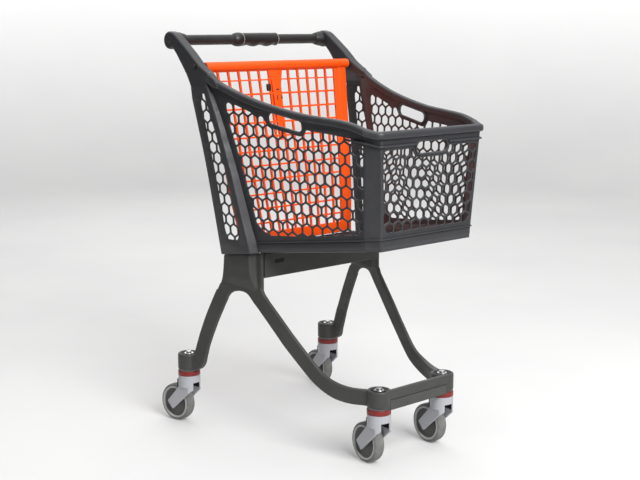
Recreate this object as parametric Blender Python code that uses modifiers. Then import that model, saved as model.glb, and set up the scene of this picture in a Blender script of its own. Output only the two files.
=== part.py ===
"""A compact plastic shopping cart: honeycomb basket, handle, rear flap, two-legged sides and four casters.

Metres, +Z up. The front faces -Y, and +X is on the pusher's left. Everything is drawn about a working
origin and then moved by CENTRING, so that the origin lies on the floor under the middle of the cart. The
basket's walls are plain thin panels here, at the size and place of the honeycomb ones.
"""

import math

import bmesh
import bpy
from mathutils import Vector

# Driving dimensions ---------------------------------------------------------------------------------------

GAP = 0.0003  # clearance between pieces that touch
CENTRING = 0.0038  # moves the whole cart along Y onto the middle of its own box

# Basket. The side walls lean out towards the top and close in towards the front.
PANEL_T = 0.004
WALL_X = 0.227  # half-width of the side wall's outer face at WALL_Y, WALL_Z
WALL_Y = -0.075
WALL_Z = 0.865
WALL_TAPER = 0.148  # growth of the half-width per metre towards the rear
WALL_DRAFT = 0.065  # growth of the half-width per metre of height
STRIP_X = 0.240  # half-width of the rear strips at their foot
STRIP_DRAFT = 0.077
REAR_Y = 0.142  # rear end of the basket's foot
REAR_Z = 0.478
FLOOR_RISE = 0.129  # slope of the basket's foot, up towards the front
FRONT_Y = -0.3654  # front wall's outer face at FRONT_Z
FRONT_Z = 0.787
FRONT_LEAN = 0.0504
FRONT_HALF = 0.1697  # half-width of the front wall at FRONT_Z
FRONT_DRAFT = 0.0642
FRONT_FOOT_Z = 0.5375
FACET_Y = -0.329  # rear edge of the corner facets at FRONT_Z
FACET_LEAN = 0.053
RIM_HEIGHT = 0.020
RIM_WIDTH = 0.020
RIM_INSIDE = 0.008  # how far the rim stands inside the side wall's outer face
FRONT_RIM_Y = -0.375  # outermost line of the front rim
SIDE_HOLE = (-0.090, 0.829)  # middle of the side hand hole, as (y, z)
SIDE_HOLE_ALONG = (0, 0.985, 0.173)
SIDE_HOLE_HALF = 0.0415  # half the distance between its round ends
SIDE_HOLE_R = 0.0135
FRONT_HOLE_Z = 0.7775
FRONT_HOLE_HALF = 0.0385
FRONT_HOLE_R = 0.0145

# Top edge of the arm and rim, from the arm's shoulder to the front corner, as (y, z).
RIM_LINE = [
    (0.145, 0.943),
    (0.114, 0.922),
    (0.069, 0.904),
    (0.020, 0.888),
    (-0.023, 0.877),
    (-0.091, 0.863),
    (-0.157, 0.853),
    (-0.223, 0.8475),
    (-0.286, 0.841),
    (-0.336, 0.828),
]
# The step between the rear strip and the side wall, top to bottom, as (y, z).
STEP_LINE = [(0.144, 0.873), (0.102, 0.750), (0.065, 0.628), (0.038, 0.530), (0.024, 0.4932)]
# Rear edge of the rear strip, bottom to top, as (y, z).
REAR_EDGE = [(0.142, 0.478), (0.162, 0.608), (0.181, 0.720), (0.203, 0.821), (0.215, 0.873)]

# Arms and handle.
ARM_IN = 0.250
ARM_OUT = 0.278
HANDLE_Y = 0.305
HANDLE_Z = 1.020
KNOB_R = 0.023
TUBE_R = 0.0135
COLLAR_IN = 0.224
COLLAR_R = 0.020
SLEEVE_FROM = -0.040
SLEEVE_TO = 0.081
SLEEVE_COLLAR_FROM = -0.067
SLEEVE_R = 0.0175
BOLT_R = 0.004
BOLT_HEAD_R = 0.007

# Rear flap. It hangs from its bar and leans in at the foot.
HINGE_Y = 0.192
HINGE_Z = 0.953
BAR_R = 0.013
BAR_HALF = 0.2455
FLAP_LEAN = math.radians(9.5)
# The flap's side edge, as (half-width, distance down from the hinge). It narrows to swing between the walls.
FLAP_EDGE = [(0.237, 0.004), (0.2175, 0.270), (0.2095, 0.350), (0.1905, 0.465)]
FLAP_T = 0.008
PIN_R = 0.005
PIN_X = 0.253
PIN_LENGTH = 0.046
BUSH_R = 0.012
BUSH_T = 0.0038
CATCH_SIZE = (0.012, 0.008, 0.020)
CATCH_X = -0.044
CATCH_REACH = 0.0585  # distance down from the hinge

# Chassis. Each side frame is a thin plate whose middle plane closes in towards the front.
PLATE_X = 0.2031  # half-width of the plane at Y = 0
PLATE_TAPER = 0.2156  # growth of the half-width per metre towards the rear
PLATE_T = 0.010
HOUSING_R = 0.0295
HOUSING_FOOT = 0.1500
HOUSING_TOP = 0.193
RECESS_R = 0.0235
RECESS_DEPTH = 0.0025
STEM_BORE_R = 0.0085
CROSSBAR_T = 0.014
CROSSBAR_FOOT = 0.1435
CROSSBAR_TOP = 0.193
CROSSBAR_GROOVE = 0.170
INSERT_HALF = 0.100
INSERT_BACK = 0.0085  # how deep the insert's seat is, from the bar's front face
PANEL_LOW = 0.429  # lower edge of the panel between the posts

# The post's top, as (height, rear edge in Y, half-width and Y of its step's outer and of its inner edge).
POST_STEP = [
    (0.500, 0.1340, 0.232, 0.0390, 0.212, 0.0350),
    (0.450, 0.1380, 0.232, 0.0397, 0.212, 0.0355),
    (0.420, 0.1430, 0.224, 0.0370, 0.211, 0.0330),
    (0.395, 0.1535, 0.215, 0.0320, 0.2135, 0.0280),
]
POST_REAR_X = 0.2385
POST_FRONT = (0.209, 0.017)  # half-width and Y of the post's front edge
POST_T = 0.009

# The legs' middle lines, as (half-width, y, z, thickness across, depth).
REAR_LEG = [
    (0.2344, 0.145, 0.374, 0.010, 0.042),
    (0.2371, 0.1578, 0.350, 0.010, 0.042),
    (0.2422, 0.1828, 0.300, 0.010, 0.042),
    (0.2463, 0.2045, 0.250, 0.010, 0.042),
    (0.2477, 0.2142, 0.225, 0.011, 0.042),
    (0.2490, 0.2235, 0.198, 0.013, 0.041),
    (0.2508, 0.2330, 0.1765, 0.018, 0.041),
    (0.2520, 0.2530, 0.1720, 0.026, 0.040),
]
FRONT_LEG = [
    (0.2080, 0.0226, 0.371, 0.010, 0.041),
    (0.2036, 0.0024, 0.350, 0.010, 0.041),
    (0.1931, -0.0455, 0.300, 0.010, 0.042),
    (0.1876, -0.0691, 0.275, 0.010, 0.042),
    (0.1724, -0.130, 0.216, 0.011, 0.040),
    (0.1660, -0.160, 0.193, 0.012, 0.039),
    (0.1580, -0.200, 0.1765, 0.014, 0.040),
    (0.1450, -0.240, 0.1695, 0.017, 0.039),
    (0.1280, -0.280, 0.1700, 0.021, 0.038),
    (0.1150, -0.306, 0.1700, 0.024, 0.038),
]

# Casters. Each stands turned a little about its swivel axis, as (half-width, y, turn in degrees).
CASTERS = {
    "front_left": (0.112, -0.308, -4.5),
    "front_right": (-0.112, -0.308, -7.0),
    "rear_left": (0.2525, 0.275, -4.0),
    "rear_right": (-0.2525, 0.275, 11.0),
}
TRAIL = 0.0425
WHEEL_R = 0.050
TYRE_HALF = 0.015
TYRE_BORE = 0.0442
AXLE_R = 0.004
FORK_TOP = 0.1332
FORK_IN = 0.0175
FORK_OUT = 0.0245
FORK_ROOM_TOP = 0.119
CUP_FOOT = 0.1010
RING_FOOT = 0.1335
RING_TOP = 0.1462
STEM_R = 0.008
STEM_FOOT = 0.1195
STEM_TOP = 0.184
WASHER_R = 0.0125

COLLECTION = "shopping_cart"
CUTTERS = "shopping_cart_cutters"


# Scene and materials --------------------------------------------------------------------------------------


def clear_scene():
    for item in list(bpy.data.objects):
        bpy.data.objects.remove(item, do_unlink=True)


def new_collection(name):
    collection = bpy.data.collections.new(name)
    bpy.context.scene.collection.children.link(collection)
    return collection


def material(name, colour, roughness, metallic=0.0):
    made = bpy.data.materials.new(name)
    made.use_nodes = True
    shader = made.node_tree.nodes["Principled BSDF"]
    shader.inputs["Base Color"].default_value = (*colour, 1.0)
    shader.inputs["Roughness"].default_value = roughness
    shader.inputs["Metallic"].default_value = metallic
    made.diffuse_color = (*colour, 1.0)
    return made


clear_scene()
PARTS = new_collection(COLLECTION)
HIDDEN = new_collection(CUTTERS)
CHARCOAL = material("basket_plastic", (0.055, 0.056, 0.062), 0.45)
CHASSIS = material("chassis_plastic", (0.066, 0.066, 0.060), 0.5)
BLACK = material("handle_black", (0.022, 0.022, 0.022), 0.45)
ORANGE = material("flap_orange", (0.9, 0.09, 0.008), 0.4)
LIGHT = material("fork_grey", (0.43, 0.44, 0.47), 0.45)
RED = material("ring_red", (0.42, 0.03, 0.025), 0.45)
TYRE = material("tyre_grey", (0.09, 0.09, 0.085), 0.8)
HUB = material("hub_grey", (0.22, 0.22, 0.22), 0.5)
STEEL = material("zinc_steel", (0.6, 0.6, 0.6), 0.3, 1.0)


# Shape helpers --------------------------------------------------------------------------------------------


def add_object(name, mesh, finish, hidden=False):
    """Links a mesh as one named object. A hidden one only cuts or joins others."""
    made = bpy.data.objects.new(name, mesh)
    (HIDDEN if hidden else PARTS).objects.link(made)
    mesh.materials.append(finish)
    made.hide_render = hidden
    made.display_type = "WIRE" if hidden else "TEXTURED"
    return made


def from_bmesh(bm, name, finish, hidden=False, side=1, smooth=0):
    """Turns a bmesh into an object. side -1 mirrors it to the -X side."""
    bmesh.ops.scale(bm, vec=(side, 1, 1), verts=bm.verts)
    bmesh.ops.recalc_face_normals(bm, faces=bm.faces)
    mesh = bpy.data.meshes.new(name)
    bm.to_mesh(mesh)
    bm.free()
    if smooth:
        mesh.shade_smooth()
        mesh.set_sharp_from_angle(angle=math.radians(smooth))
    return add_object(name, mesh, finish, hidden)


def plate(name, outline, depth, finish, hidden=False, side=1):
    """A flat outline in space, thickened by the vector depth."""
    bm = bmesh.new()
    face = bm.faces.new([bm.verts.new(point) for point in outline])
    grown = bmesh.ops.extrude_face_region(bm, geom=[face])
    moved = [item for item in grown["geom"] if isinstance(item, bmesh.types.BMVert)]
    bmesh.ops.translate(bm, vec=depth, verts=moved)
    return from_bmesh(bm, name, finish, hidden, side)


def box(name, low, high, finish, hidden=False, side=1):
    bm = bmesh.new()
    bmesh.ops.create_cube(bm, size=1)
    size = Vector(high) - Vector(low)
    middle = (Vector(high) + Vector(low)) / 2
    bmesh.ops.scale(bm, vec=size, verts=bm.verts)
    bmesh.ops.translate(bm, vec=middle, verts=bm.verts)
    return from_bmesh(bm, name, finish, hidden, side)


def ring_between(bm, first, second):
    for i in range(len(first)):
        j = (i + 1) % len(first)
        bm.faces.new((first[i], first[j], second[j], second[i]))


def loft(name, sections, finish, hidden=False, side=1):
    """A solid through closed sections that all have the same number of points."""
    bm = bmesh.new()
    rings = [[bm.verts.new(point) for point in section] for section in sections]
    for first, second in zip(rings, rings[1:]):
        ring_between(bm, first, second)
    bm.faces.new(rings[0][::-1])
    bm.faces.new(rings[-1])
    return from_bmesh(bm, name, finish, hidden, side, smooth=30)


def bar(name, stations, finish, corner=0.3, hidden=False, side=1):
    """A bar with chamfered corners along (x, y, z, thickness, depth) stations, thickness level."""
    points = [Vector(station[:3]) for station in stations]
    sections = []
    for i, station in enumerate(stations):
        along = points[min(i + 1, len(points) - 1)] - points[max(i - 1, 0)]
        across = Vector((0, 0, 1)).cross(along).normalized()
        upward = along.cross(across).normalized()
        half_t = station[3] / 2
        half_d = station[4] / 2
        cut = corner * min(half_t, half_d)
        corners = [
            (half_t, half_d - cut),
            (half_t - cut, half_d),
            (cut - half_t, half_d),
            (-half_t, half_d - cut),
            (-half_t, cut - half_d),
            (cut - half_t, -half_d),
            (half_t - cut, -half_d),
            (half_t, cut - half_d),
        ]
        sections.append([points[i] + across * a + upward * b for a, b in corners])
    return loft(name, sections, finish, hidden, side)


def cylinder(name, middle, axis, radius, length, finish, segments=24, hidden=False):
    made = bmesh.new()
    bmesh.ops.create_cone(
        made, cap_ends=True, segments=segments, radius1=radius, radius2=radius, depth=length
    )
    turn = Vector((0, 0, 1)).rotation_difference(Vector(axis)).to_matrix()
    bmesh.ops.rotate(made, matrix=turn, verts=made.verts)
    item = from_bmesh(made, name, finish, hidden, smooth=40)
    item.location = middle
    return item


def turned(name, profile, location, finish, segments=24, axis="Z", closed=True):
    """A profile of (radius, height) turned about an axis, down its outer side. A closed one is a ring."""
    bm = bmesh.new()
    points = [bm.verts.new((radius, 0, height)) for radius, height in profile]
    for first, second in zip(points, points[1:]):
        bm.edges.new((first, second))
    if closed:
        bm.edges.new((points[-1], points[0]))
    mesh = bpy.data.meshes.new(name)
    bm.to_mesh(mesh)
    bm.free()
    made = add_object(name, mesh, finish)
    screw = made.modifiers.new("turn", "SCREW")
    screw.axis = "Z"
    screw.steps = segments
    screw.render_steps = segments
    screw.use_merge_vertices = True
    screw.merge_threshold = 0.00001
    screw.use_smooth_shade = False
    made.location = location
    if axis == "X":
        made.rotation_euler = (0, math.pi / 2, 0)
    return made


def join(target, *tools):
    for tool in tools:
        union = target.modifiers.new("join_" + tool.name, "BOOLEAN")
        union.operation = "UNION"
        union.object = tool


def cut(target, *tools):
    for tool in tools:
        difference = target.modifiers.new("cut_" + tool.name, "BOOLEAN")
        difference.operation = "DIFFERENCE"
        difference.object = tool


def empty(name, location):
    made = bpy.data.objects.new(name, None)
    PARTS.objects.link(made)
    made.location = location
    return made


def hang_on(parent, *children):
    """Parents children to an empty that is not turned yet, and keeps their places."""
    for child in children:
        child.parent = parent
        child.location = child.location - parent.location


def arc(y, z, radius, start, end, steps):
    """Points (y, z) along an arc, angles in degrees from +Y towards +Z."""
    found = []
    for i in range(steps + 1):
        angle = math.radians(start + (end - start) * i / steps)
        found.append((y + radius * math.cos(angle), z + radius * math.sin(angle)))
    return found


# The basket's own surfaces --------------------------------------------------------------------------------


def wall_x(y, z):
    """Half-width of the side wall's outer face."""
    return WALL_X + WALL_TAPER * (y - WALL_Y) - WALL_DRAFT * (WALL_Z - z)


def strip_x(z):
    """Half-width of the rear strip's outer face."""
    return STRIP_X + STRIP_DRAFT * (z - REAR_Z)


def foot_z(y):
    """Height of the basket's foot."""
    return REAR_Z + FLOOR_RISE * (REAR_Y - y)


def facet_y(z):
    """Place of the corner facet's rear edge."""
    return FACET_Y - FACET_LEAN * (z - FRONT_Z)


def front_y(z):
    return FRONT_Y - FRONT_LEAN * (z - FRONT_Z)


def front_half(z):
    return FRONT_HALF + FRONT_DRAFT * (z - FRONT_Z)


def on_wall(y, z):
    return Vector((wall_x(y, z), y, z))


def on_strip(y, z):
    return Vector((strip_x(z), y, z))


WALL_INWARD = Vector((-1, WALL_TAPER, WALL_DRAFT)).normalized() * PANEL_T
STRIP_INWARD = Vector((-1, 0, STRIP_DRAFT)).normalized() * PANEL_T


def slot_cutter(name, middle, along, through, half_length, radius):
    """A long hole with round ends, centred on middle, running through a wall."""
    along = Vector(along).normalized()
    through = Vector(through).normalized()
    upward = through.cross(along)
    outline = []
    for end, first in ((1, -90), (-1, 90)):
        for a, b in arc(0, 0, radius, first, first + 180, 6):
            reach = along * (a + end * half_length) + upward * b
            outline.append(Vector(middle) + reach - through * 0.05)
    return plate(name, outline, through * 0.1, CHARCOAL, hidden=True)


def bore_along_x(name, middle, radius, length):
    return cylinder(name, middle, (1, 0, 0), radius, length, CHARCOAL, 16, True)


def seam_cutter(name, reach, offset):
    """A block on one side of the corner seam, up the facets' rear edges. reach is its far end in Y."""
    edge = [(facet_y(z) + offset, z) for z in (0.45, 0.90)]
    outline = [Vector((-0.3, y, z)) for y, z in edge + [(reach, 0.90), (reach, 0.45)]]
    return plate(name, outline, Vector((0.6, 0, 0)), CHARCOAL, hidden=True)


def side_panel(name, side):
    """One side of the basket with its rim, rear strip and the arm that carries the handle."""
    front_edge = [(facet_y(z) - 0.003, z) for z in (foot_z(FACET_Y), FRONT_Z, 0.822)]
    under_rim = [(y, z - RIM_HEIGHT / 2) for y, z in reversed(RIM_LINE[1:-1])]
    foot = [(STEP_LINE[-1][0], foot_z(STEP_LINE[-1][0]))]
    wall_outline = foot + front_edge + under_rim + STEP_LINE[:-1]
    panel = plate(name, [on_wall(y, z) for y, z in wall_outline], WALL_INWARD, CHARCOAL, side=side)

    strip_outline = REAR_EDGE + [(0.217, 0.892), (0.150, 0.905)] + STEP_LINE
    strip_points = [on_strip(y, z) for y, z in strip_outline]
    strip = plate(name + "_strip", strip_points, STRIP_INWARD, CHARCOAL, True, side)

    step_stations = []
    for y, z in [(0.146, 0.893)] + STEP_LINE:
        inner = wall_x(y, z) - PANEL_T
        outer = strip_x(z)
        step_stations.append(((inner + outer) / 2, y, z + 0.002, outer - inner - 0.0006, 0.010))
    step = bar(name + "_step", step_stations, CHARCOAL, 0.1, True, side)
    trim = box(name + "_trim", (0.1, 0.0, 0.40), (0.3, 0.16, 0.478), CHARCOAL, True, side)

    knob = arc(HANDLE_Y, HANDLE_Z, KNOB_R, -130, 100, 10)
    shoulder = [(0.282, 1.037), (0.252, 1.017), (0.213, 0.989), (0.180, 0.962), (0.147, 0.942)]
    foot = [(0.114, 0.922), (0.130, 0.895), (0.150, 0.880), (0.210, 0.870), (0.218, 0.905)]
    underside = [(0.232, 0.930), (0.248, 0.953)]
    arm_outline = [Vector((ARM_IN, y, z)) for y, z in knob + shoulder + foot + underside]
    arm = plate(name + "_arm", arm_outline, Vector((ARM_OUT - ARM_IN, 0, 0)), CHARCOAL, True, side)

    rim_stations = []
    for y, z in RIM_LINE:
        middle = wall_x(y, z) - RIM_INSIDE + RIM_WIDTH / 2
        rim_stations.append((middle, y, z - RIM_HEIGHT / 2, RIM_WIDTH, RIM_HEIGHT))
    rim = bar(name + "_rim", rim_stations, CHARCOAL, 0.4, True, side)
    join(panel, strip, step, rim, arm)

    middle = on_wall(*SIDE_HOLE) * Vector((side, 1, 1))
    hole_name = name + "_hand_hole"
    hole = slot_cutter(hole_name, middle, SIDE_HOLE_ALONG, (1, 0, 0), SIDE_HOLE_HALF, SIDE_HOLE_R)
    arm_x = side * (ARM_IN + ARM_OUT) / 2
    hinge_bore = bore_along_x(name + "_hinge_bore", (arm_x, HINGE_Y, HINGE_Z), PIN_R + GAP, 0.06)
    bolt_bore = bore_along_x(name + "_bolt_bore", (arm_x, HANDLE_Y, HANDLE_Z), BOLT_R + GAP, 0.06)
    pocket_middle = (side * ARM_OUT, HANDLE_Y, HANDLE_Z)
    head_pocket = bore_along_x(name + "_head_pocket", pocket_middle, BOLT_HEAD_R + 0.001, 0.016)
    seam = seam_cutter(name + "_seam", -0.45, GAP)
    cut(panel, trim, seam, hole, hinge_bore, bolt_bore, head_pocket)


def front_panel():
    """The front wall with its two corner facets and rim, one moulding."""
    bm = bmesh.new()
    rows = []
    for z in (FRONT_FOOT_Z, 0.815):
        side_z = z if z > FRONT_FOOT_Z else foot_z(FACET_Y)
        row = [
            (-wall_x(facet_y(z) + 0.003, z), facet_y(z) + 0.003, side_z),
            (-front_half(z), front_y(z), z),
            (front_half(z), front_y(z), z),
            (wall_x(facet_y(z) + 0.003, z), facet_y(z) + 0.003, side_z),
        ]
        rows.append([bm.verts.new(point) for point in row])
    for i in range(3):
        bm.faces.new((rows[0][i], rows[0][i + 1], rows[1][i + 1], rows[1][i]))
    panel = from_bmesh(bm, "front_panel", CHARCOAL)
    shell = panel.modifiers.new("wall", "SOLIDIFY")
    shell.thickness = PANEL_T
    shell.offset = -1
    shell.use_even_offset = True

    top = 0.822
    y_side = facet_y(top) + 0.004
    side_x = wall_x(y_side, top) - RIM_INSIDE + RIM_WIDTH / 2
    corner_x = front_half(top) - RIM_WIDTH / 2
    rim_y = FRONT_RIM_Y + RIM_WIDTH / 2
    half = [(side_x, y_side, top + 0.0065), (corner_x, rim_y, top)]
    path = half + [(-x, y, z) for x, y, z in reversed(half)]
    rim = mitred_rim("front_rim", path)
    join(panel, rim)
    middle = (0, FRONT_Y, FRONT_HOLE_Z)
    hole = slot_cutter("front_hand_hole", middle, (1, 0, 0), (0, 1, 0), FRONT_HOLE_HALF, FRONT_HOLE_R)
    cut(panel, seam_cutter("front_seam", -0.2, 0), hole)


def mitred_rim(name, path):
    """The rim's section swept round the front corners, its sides mitred."""
    points = [Vector(point) for point in path]
    sections = []
    for i, point in enumerate(points):
        before = (points[i] - points[i - 1]).normalized() if i else None
        after = (points[i + 1] - points[i]).normalized() if i + 1 < len(points) else None
        first = before or after
        second = after or before
        along = (first + second).normalized()
        across = along.cross(Vector((0, 0, 1))).normalized()
        stretch = 1 / max(0.5, along.dot(first))
        half = RIM_WIDTH / 2 * stretch
        corners = [(half, 0), (half, -RIM_HEIGHT), (-half, -RIM_HEIGHT), (-half, 0)]
        sections.append([point + across * a + Vector((0, 0, b)) for a, b in corners])
    return loft(name, sections, CHARCOAL, hidden=True)


def floor_tray():
    """The sloping floor, clear of the walls all round."""
    margin = PANEL_T + 0.0006
    lift = 0.006
    rear_y = REAR_Y - 0.004
    step_y = STEP_LINE[-1][0]
    notch_x = wall_x(step_y - 0.008, REAR_Z) - margin - 0.001
    half = [(strip_x(REAR_Z) - margin, rear_y), (strip_x(REAR_Z) - margin, step_y + 0.014)]
    half += [(notch_x, step_y + 0.014), (notch_x, step_y - 0.008)]
    half.append((wall_x(FACET_Y + 0.014, 0.54) - margin, FACET_Y + 0.014))
    half.append((front_half(0.545) - margin - 0.001, front_y(0.545) + margin))
    outline = [Vector((x, y, foot_z(y) + lift)) for x, y in half]
    outline += [Vector((-x, y, foot_z(y) + lift)) for x, y in reversed(half)]
    return plate("floor_tray", outline, Vector((0, 0, 0.004)), CHARCOAL)


# Handle ---------------------------------------------------------------------------------------------------


def handle():
    middle = (0, HANDLE_Y, HANDLE_Z)
    tube = cylinder("handle_tube", middle, (1, 0, 0), TUBE_R, 2 * (ARM_IN - GAP), BLACK, 24)
    cut(tube, cylinder("tube_bolt_bore", middle, (1, 0, 0), BOLT_R + GAP, 0.6, BLACK, 12, True))

    inside = TUBE_R + GAP
    sleeve_length = SLEEVE_TO - SLEEVE_FROM
    profile = [
        (inside, sleeve_length),
        (SLEEVE_R - 0.002, sleeve_length),
        (SLEEVE_R, sleeve_length - 0.003),
        (SLEEVE_R, 0.001),
        (SLEEVE_R - 0.001, 0),
        (inside, 0),
    ]
    turned("handle_sleeve", profile, (SLEEVE_FROM, HANDLE_Y, HANDLE_Z), BLACK, 20, "X")
    collar_length = SLEEVE_FROM - SLEEVE_COLLAR_FROM - GAP
    profile = [
        (inside, collar_length),
        (SLEEVE_R, collar_length),
        (SLEEVE_R + 0.0008, collar_length * 0.6),
        (SLEEVE_R - 0.003, 0),
        (inside, 0),
    ]
    turned("sleeve_collar", profile, (SLEEVE_COLLAR_FROM, HANDLE_Y, HANDLE_Z), BLACK, 20, "X")

    for name, side in (("left", 1), ("right", -1)):
        flare = ARM_IN - GAP - COLLAR_IN
        profile = [
            (inside, flare),
            (COLLAR_R, flare),
            (COLLAR_R, flare - 0.006),
            (TUBE_R + 0.0025, 0.004),
            (TUBE_R + 0.0015, 0),
            (inside, 0),
        ]
        collar = turned(
            "handle_collar_" + name, profile, (side * COLLAR_IN, HANDLE_Y, HANDLE_Z), BLACK, 20, "X"
        )
        collar.rotation_euler = (0, side * math.pi / 2, 0)
        head = ARM_OUT - 0.002
        seat = ARM_OUT - 0.008 + GAP
        tip = ARM_IN - 0.020
        profile = [(0, head), (BOLT_HEAD_R, head), (BOLT_HEAD_R, seat)]
        profile += [(BOLT_R, seat), (BOLT_R, tip), (0, tip)]
        bolt = turned("handle_bolt_" + name, profile, (0, HANDLE_Y, HANDLE_Z), STEEL, 12, "X", False)
        bolt.rotation_euler = (0, side * math.pi / 2, 0)


# Rear flap ------------------------------------------------------------------------------------------------


def rear_flap():
    """The grid flap as a plain panel, with the bar it hangs from. Its origin is on the hinge line."""
    axis = empty("flap_hinge_axis", (0, HINGE_Y, HINGE_Z))
    down = Vector((0, -math.sin(FLAP_LEAN), -math.cos(FLAP_LEAN)))
    through = Vector((0, math.cos(FLAP_LEAN), -math.sin(FLAP_LEAN))) * FLAP_T
    outline = [Vector((half, 0, 0)) + down * reach - through / 2 for half, reach in FLAP_EDGE]
    other_edge = reversed(FLAP_EDGE)
    outline += [Vector((-half, 0, 0)) + down * reach - through / 2 for half, reach in other_edge]
    flap = plate("rear_flap", outline, through, ORANGE)
    flap.location = (0, HINGE_Y, HINGE_Z)
    rod = cylinder("flap_bar", (0, HINGE_Y, HINGE_Z), (1, 0, 0), BAR_R, 2 * BAR_HALF, ORANGE, 24, True)
    join(flap, rod)
    for name, side in (("left", 1), ("right", -1)):
        middle = (side * BAR_HALF, HINGE_Y, HINGE_Z)
        cut(flap, bore_along_x("flap_bore_" + name, middle, PIN_R + GAP, 0.04))
        pin_middle = (side * PIN_X, HINGE_Y, HINGE_Z)
        cylinder("flap_pin_" + name, pin_middle, (1, 0, 0), PIN_R, PIN_LENGTH, STEEL, 16)
        profile = [(PIN_R + GAP, BUSH_T), (BUSH_R, BUSH_T), (BUSH_R, 0), (PIN_R + GAP, 0)]
        seat = (side * (BAR_HALF + GAP), HINGE_Y, HINGE_Z)
        bush = turned("flap_bushing_" + name, profile, seat, BLACK, 16, "X")
        bush.rotation_euler = (0, side * math.pi / 2, 0)
    hang_on(axis, flap)

    half = Vector(CATCH_SIZE) / 2
    catch = box("flap_catch", -half, half, BLACK)
    stand = FLAP_T / 2 + GAP + half.y
    catch.location = Vector((CATCH_X, HINGE_Y, HINGE_Z)) + down * CATCH_REACH
    catch.location -= through.normalized() * stand
    catch.rotation_euler = (-FLAP_LEAN, 0, 0)
    hang_on(axis, catch)


# Chassis --------------------------------------------------------------------------------------------------


def plate_x(y):
    """Half-width of the side frame's middle plane."""
    return PLATE_X + PLATE_TAPER * y


def post(name, side):
    """The post's top, a thin wall that steps in towards the front, up to the basket's foot."""
    sections = []
    for z, rear_y, step_x, step_y, inner_x, inner_y in POST_STEP:
        front_x, front_y_at = POST_FRONT
        outer = [(POST_REAR_X, rear_y), (step_x, step_y), (inner_x, inner_y), (front_x, front_y_at)]
        behind = [(step_x, step_y + POST_T), (POST_REAR_X, rear_y)]
        inner = [(front_x, front_y_at), (inner_x, inner_y + POST_T)] + behind
        line = outer + [(x - POST_T, y) for x, y in inner]
        sections.append([Vector((x, y, min(z, foot_z(y) - 2 * GAP))) for x, y in line])
    return loft(name, sections, CHASSIS, True, side)


def housings(frame, name, side):
    """Adds the caster housings to the side frame and bores them for the swivel stems."""
    for corner in ("rear", "front"):
        x, y, _ = CASTERS[corner + "_left"]
        middle = Vector((side * x, y, 0))
        height = HOUSING_TOP - HOUSING_FOOT
        up = (0, 0, 1)
        at = middle + Vector((0, 0, HOUSING_FOOT + height / 2))
        shell_name = name + "_housing_" + corner
        join(frame, cylinder(shell_name, at, up, HOUSING_R, height, CHASSIS, 28, True))
        at = middle + Vector((0, 0, HOUSING_TOP))
        recess = cylinder(
            name + "_recess_" + corner, at, up, RECESS_R, 2 * RECESS_DEPTH, CHASSIS, 28, True
        )
        at = middle + Vector((0, 0, HOUSING_FOOT))
        bore = cylinder(name + "_bore_" + corner, at, up, STEM_BORE_R, 0.070, CHASSIS, 12, True)
        cut(frame, recess, bore)


def side_frame(name, side):
    """Post, legs and caster housings, one moulding."""
    rear_edge = [(0.1510, 0.400), (0.1604, 0.3829), (0.1746, 0.3565), (0.1830, 0.3400)]
    crotch = [(0.158, 0.322), (0.1490, 0.3225), (0.1396, 0.3424), (0.1257, 0.3690), (0.1170, 0.3785)]
    crotch += [(0.1050, 0.3845), (0.0900, 0.3878), (0.0752, 0.3874), (0.0654, 0.3847), (0.0573, 0.3791)]
    crotch += [(0.0492, 0.3696)]
    front_edge = [(0.0374, 0.3572), (0.0180, 0.3400), (-0.0030, 0.3738), (0.0102, 0.3879), (0.0185, 0.400)]
    inward = Vector((-1, PLATE_TAPER, 0)).normalized() * PLATE_T
    outline = rear_edge + crotch + front_edge
    points = [Vector((plate_x(y), y, z)) - inward / 2 for y, z in outline]
    frame = plate(name, points, inward, CHASSIS, side=side)
    rear_leg = bar(name + "_rear_leg", REAR_LEG, CHASSIS, 0.3, True, side)
    front_leg = bar(name + "_front_leg", FRONT_LEG, CHASSIS, 0.3, True, side)
    join(frame, post(name + "_post", side), rear_leg, front_leg)
    housings(frame, name, side)


def front_crossbar():
    """The bar between the front housings, with an insert set into its lower half."""
    half, housing_y, _ = CASTERS["front_left"]
    front = housing_y - HOUSING_R + 0.0005
    low = (-half, front, CROSSBAR_FOOT)
    crossbar = box("front_crossbar", low, (half, front + CROSSBAR_T, CROSSBAR_TOP), CHASSIS)
    low = (-INSERT_HALF, front - 0.01, CROSSBAR_FOOT - 0.01)
    high = (INSERT_HALF, front + INSERT_BACK, CROSSBAR_GROOVE)
    recess = box("crossbar_recess", low, high, CHASSIS, True)
    cut(crossbar, recess)
    low = (GAP - INSERT_HALF, front + 0.0015, CROSSBAR_FOOT)
    high = (INSERT_HALF - GAP, front + INSERT_BACK - GAP, CROSSBAR_GROOVE - GAP)
    insert = box("crossbar_insert", low, high, CHASSIS)
    for side in (1, -1):
        middle = (side * half, housing_y, CROSSBAR_GROOVE)
        clear_r = HOUSING_R + 2 * GAP
        clearance = cylinder("crossbar_clearance", middle, (0, 0, 1), clear_r, 0.1, CHASSIS, 28, True)
        cut(crossbar, clearance)
        cut(insert, clearance)


def cross_beams():
    """The panel across the cart between the posts' front edges, and a beam behind it."""
    half = POST_FRONT[0] - POST_T - 2 * GAP
    top = foot_z(0.0245) - 3 * GAP
    box("front_cross_beam", (-half, 0.0145, PANEL_LOW), (half, 0.0245, top), CHASSIS)
    half = POST_STEP[0][2] - POST_T - 2 * GAP
    box("rear_cross_beam", (-half, 0.055, 0.452), (half, 0.085, 0.478), CHASSIS)


# Casters ----------------------------------------------------------------------------------------------------


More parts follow.
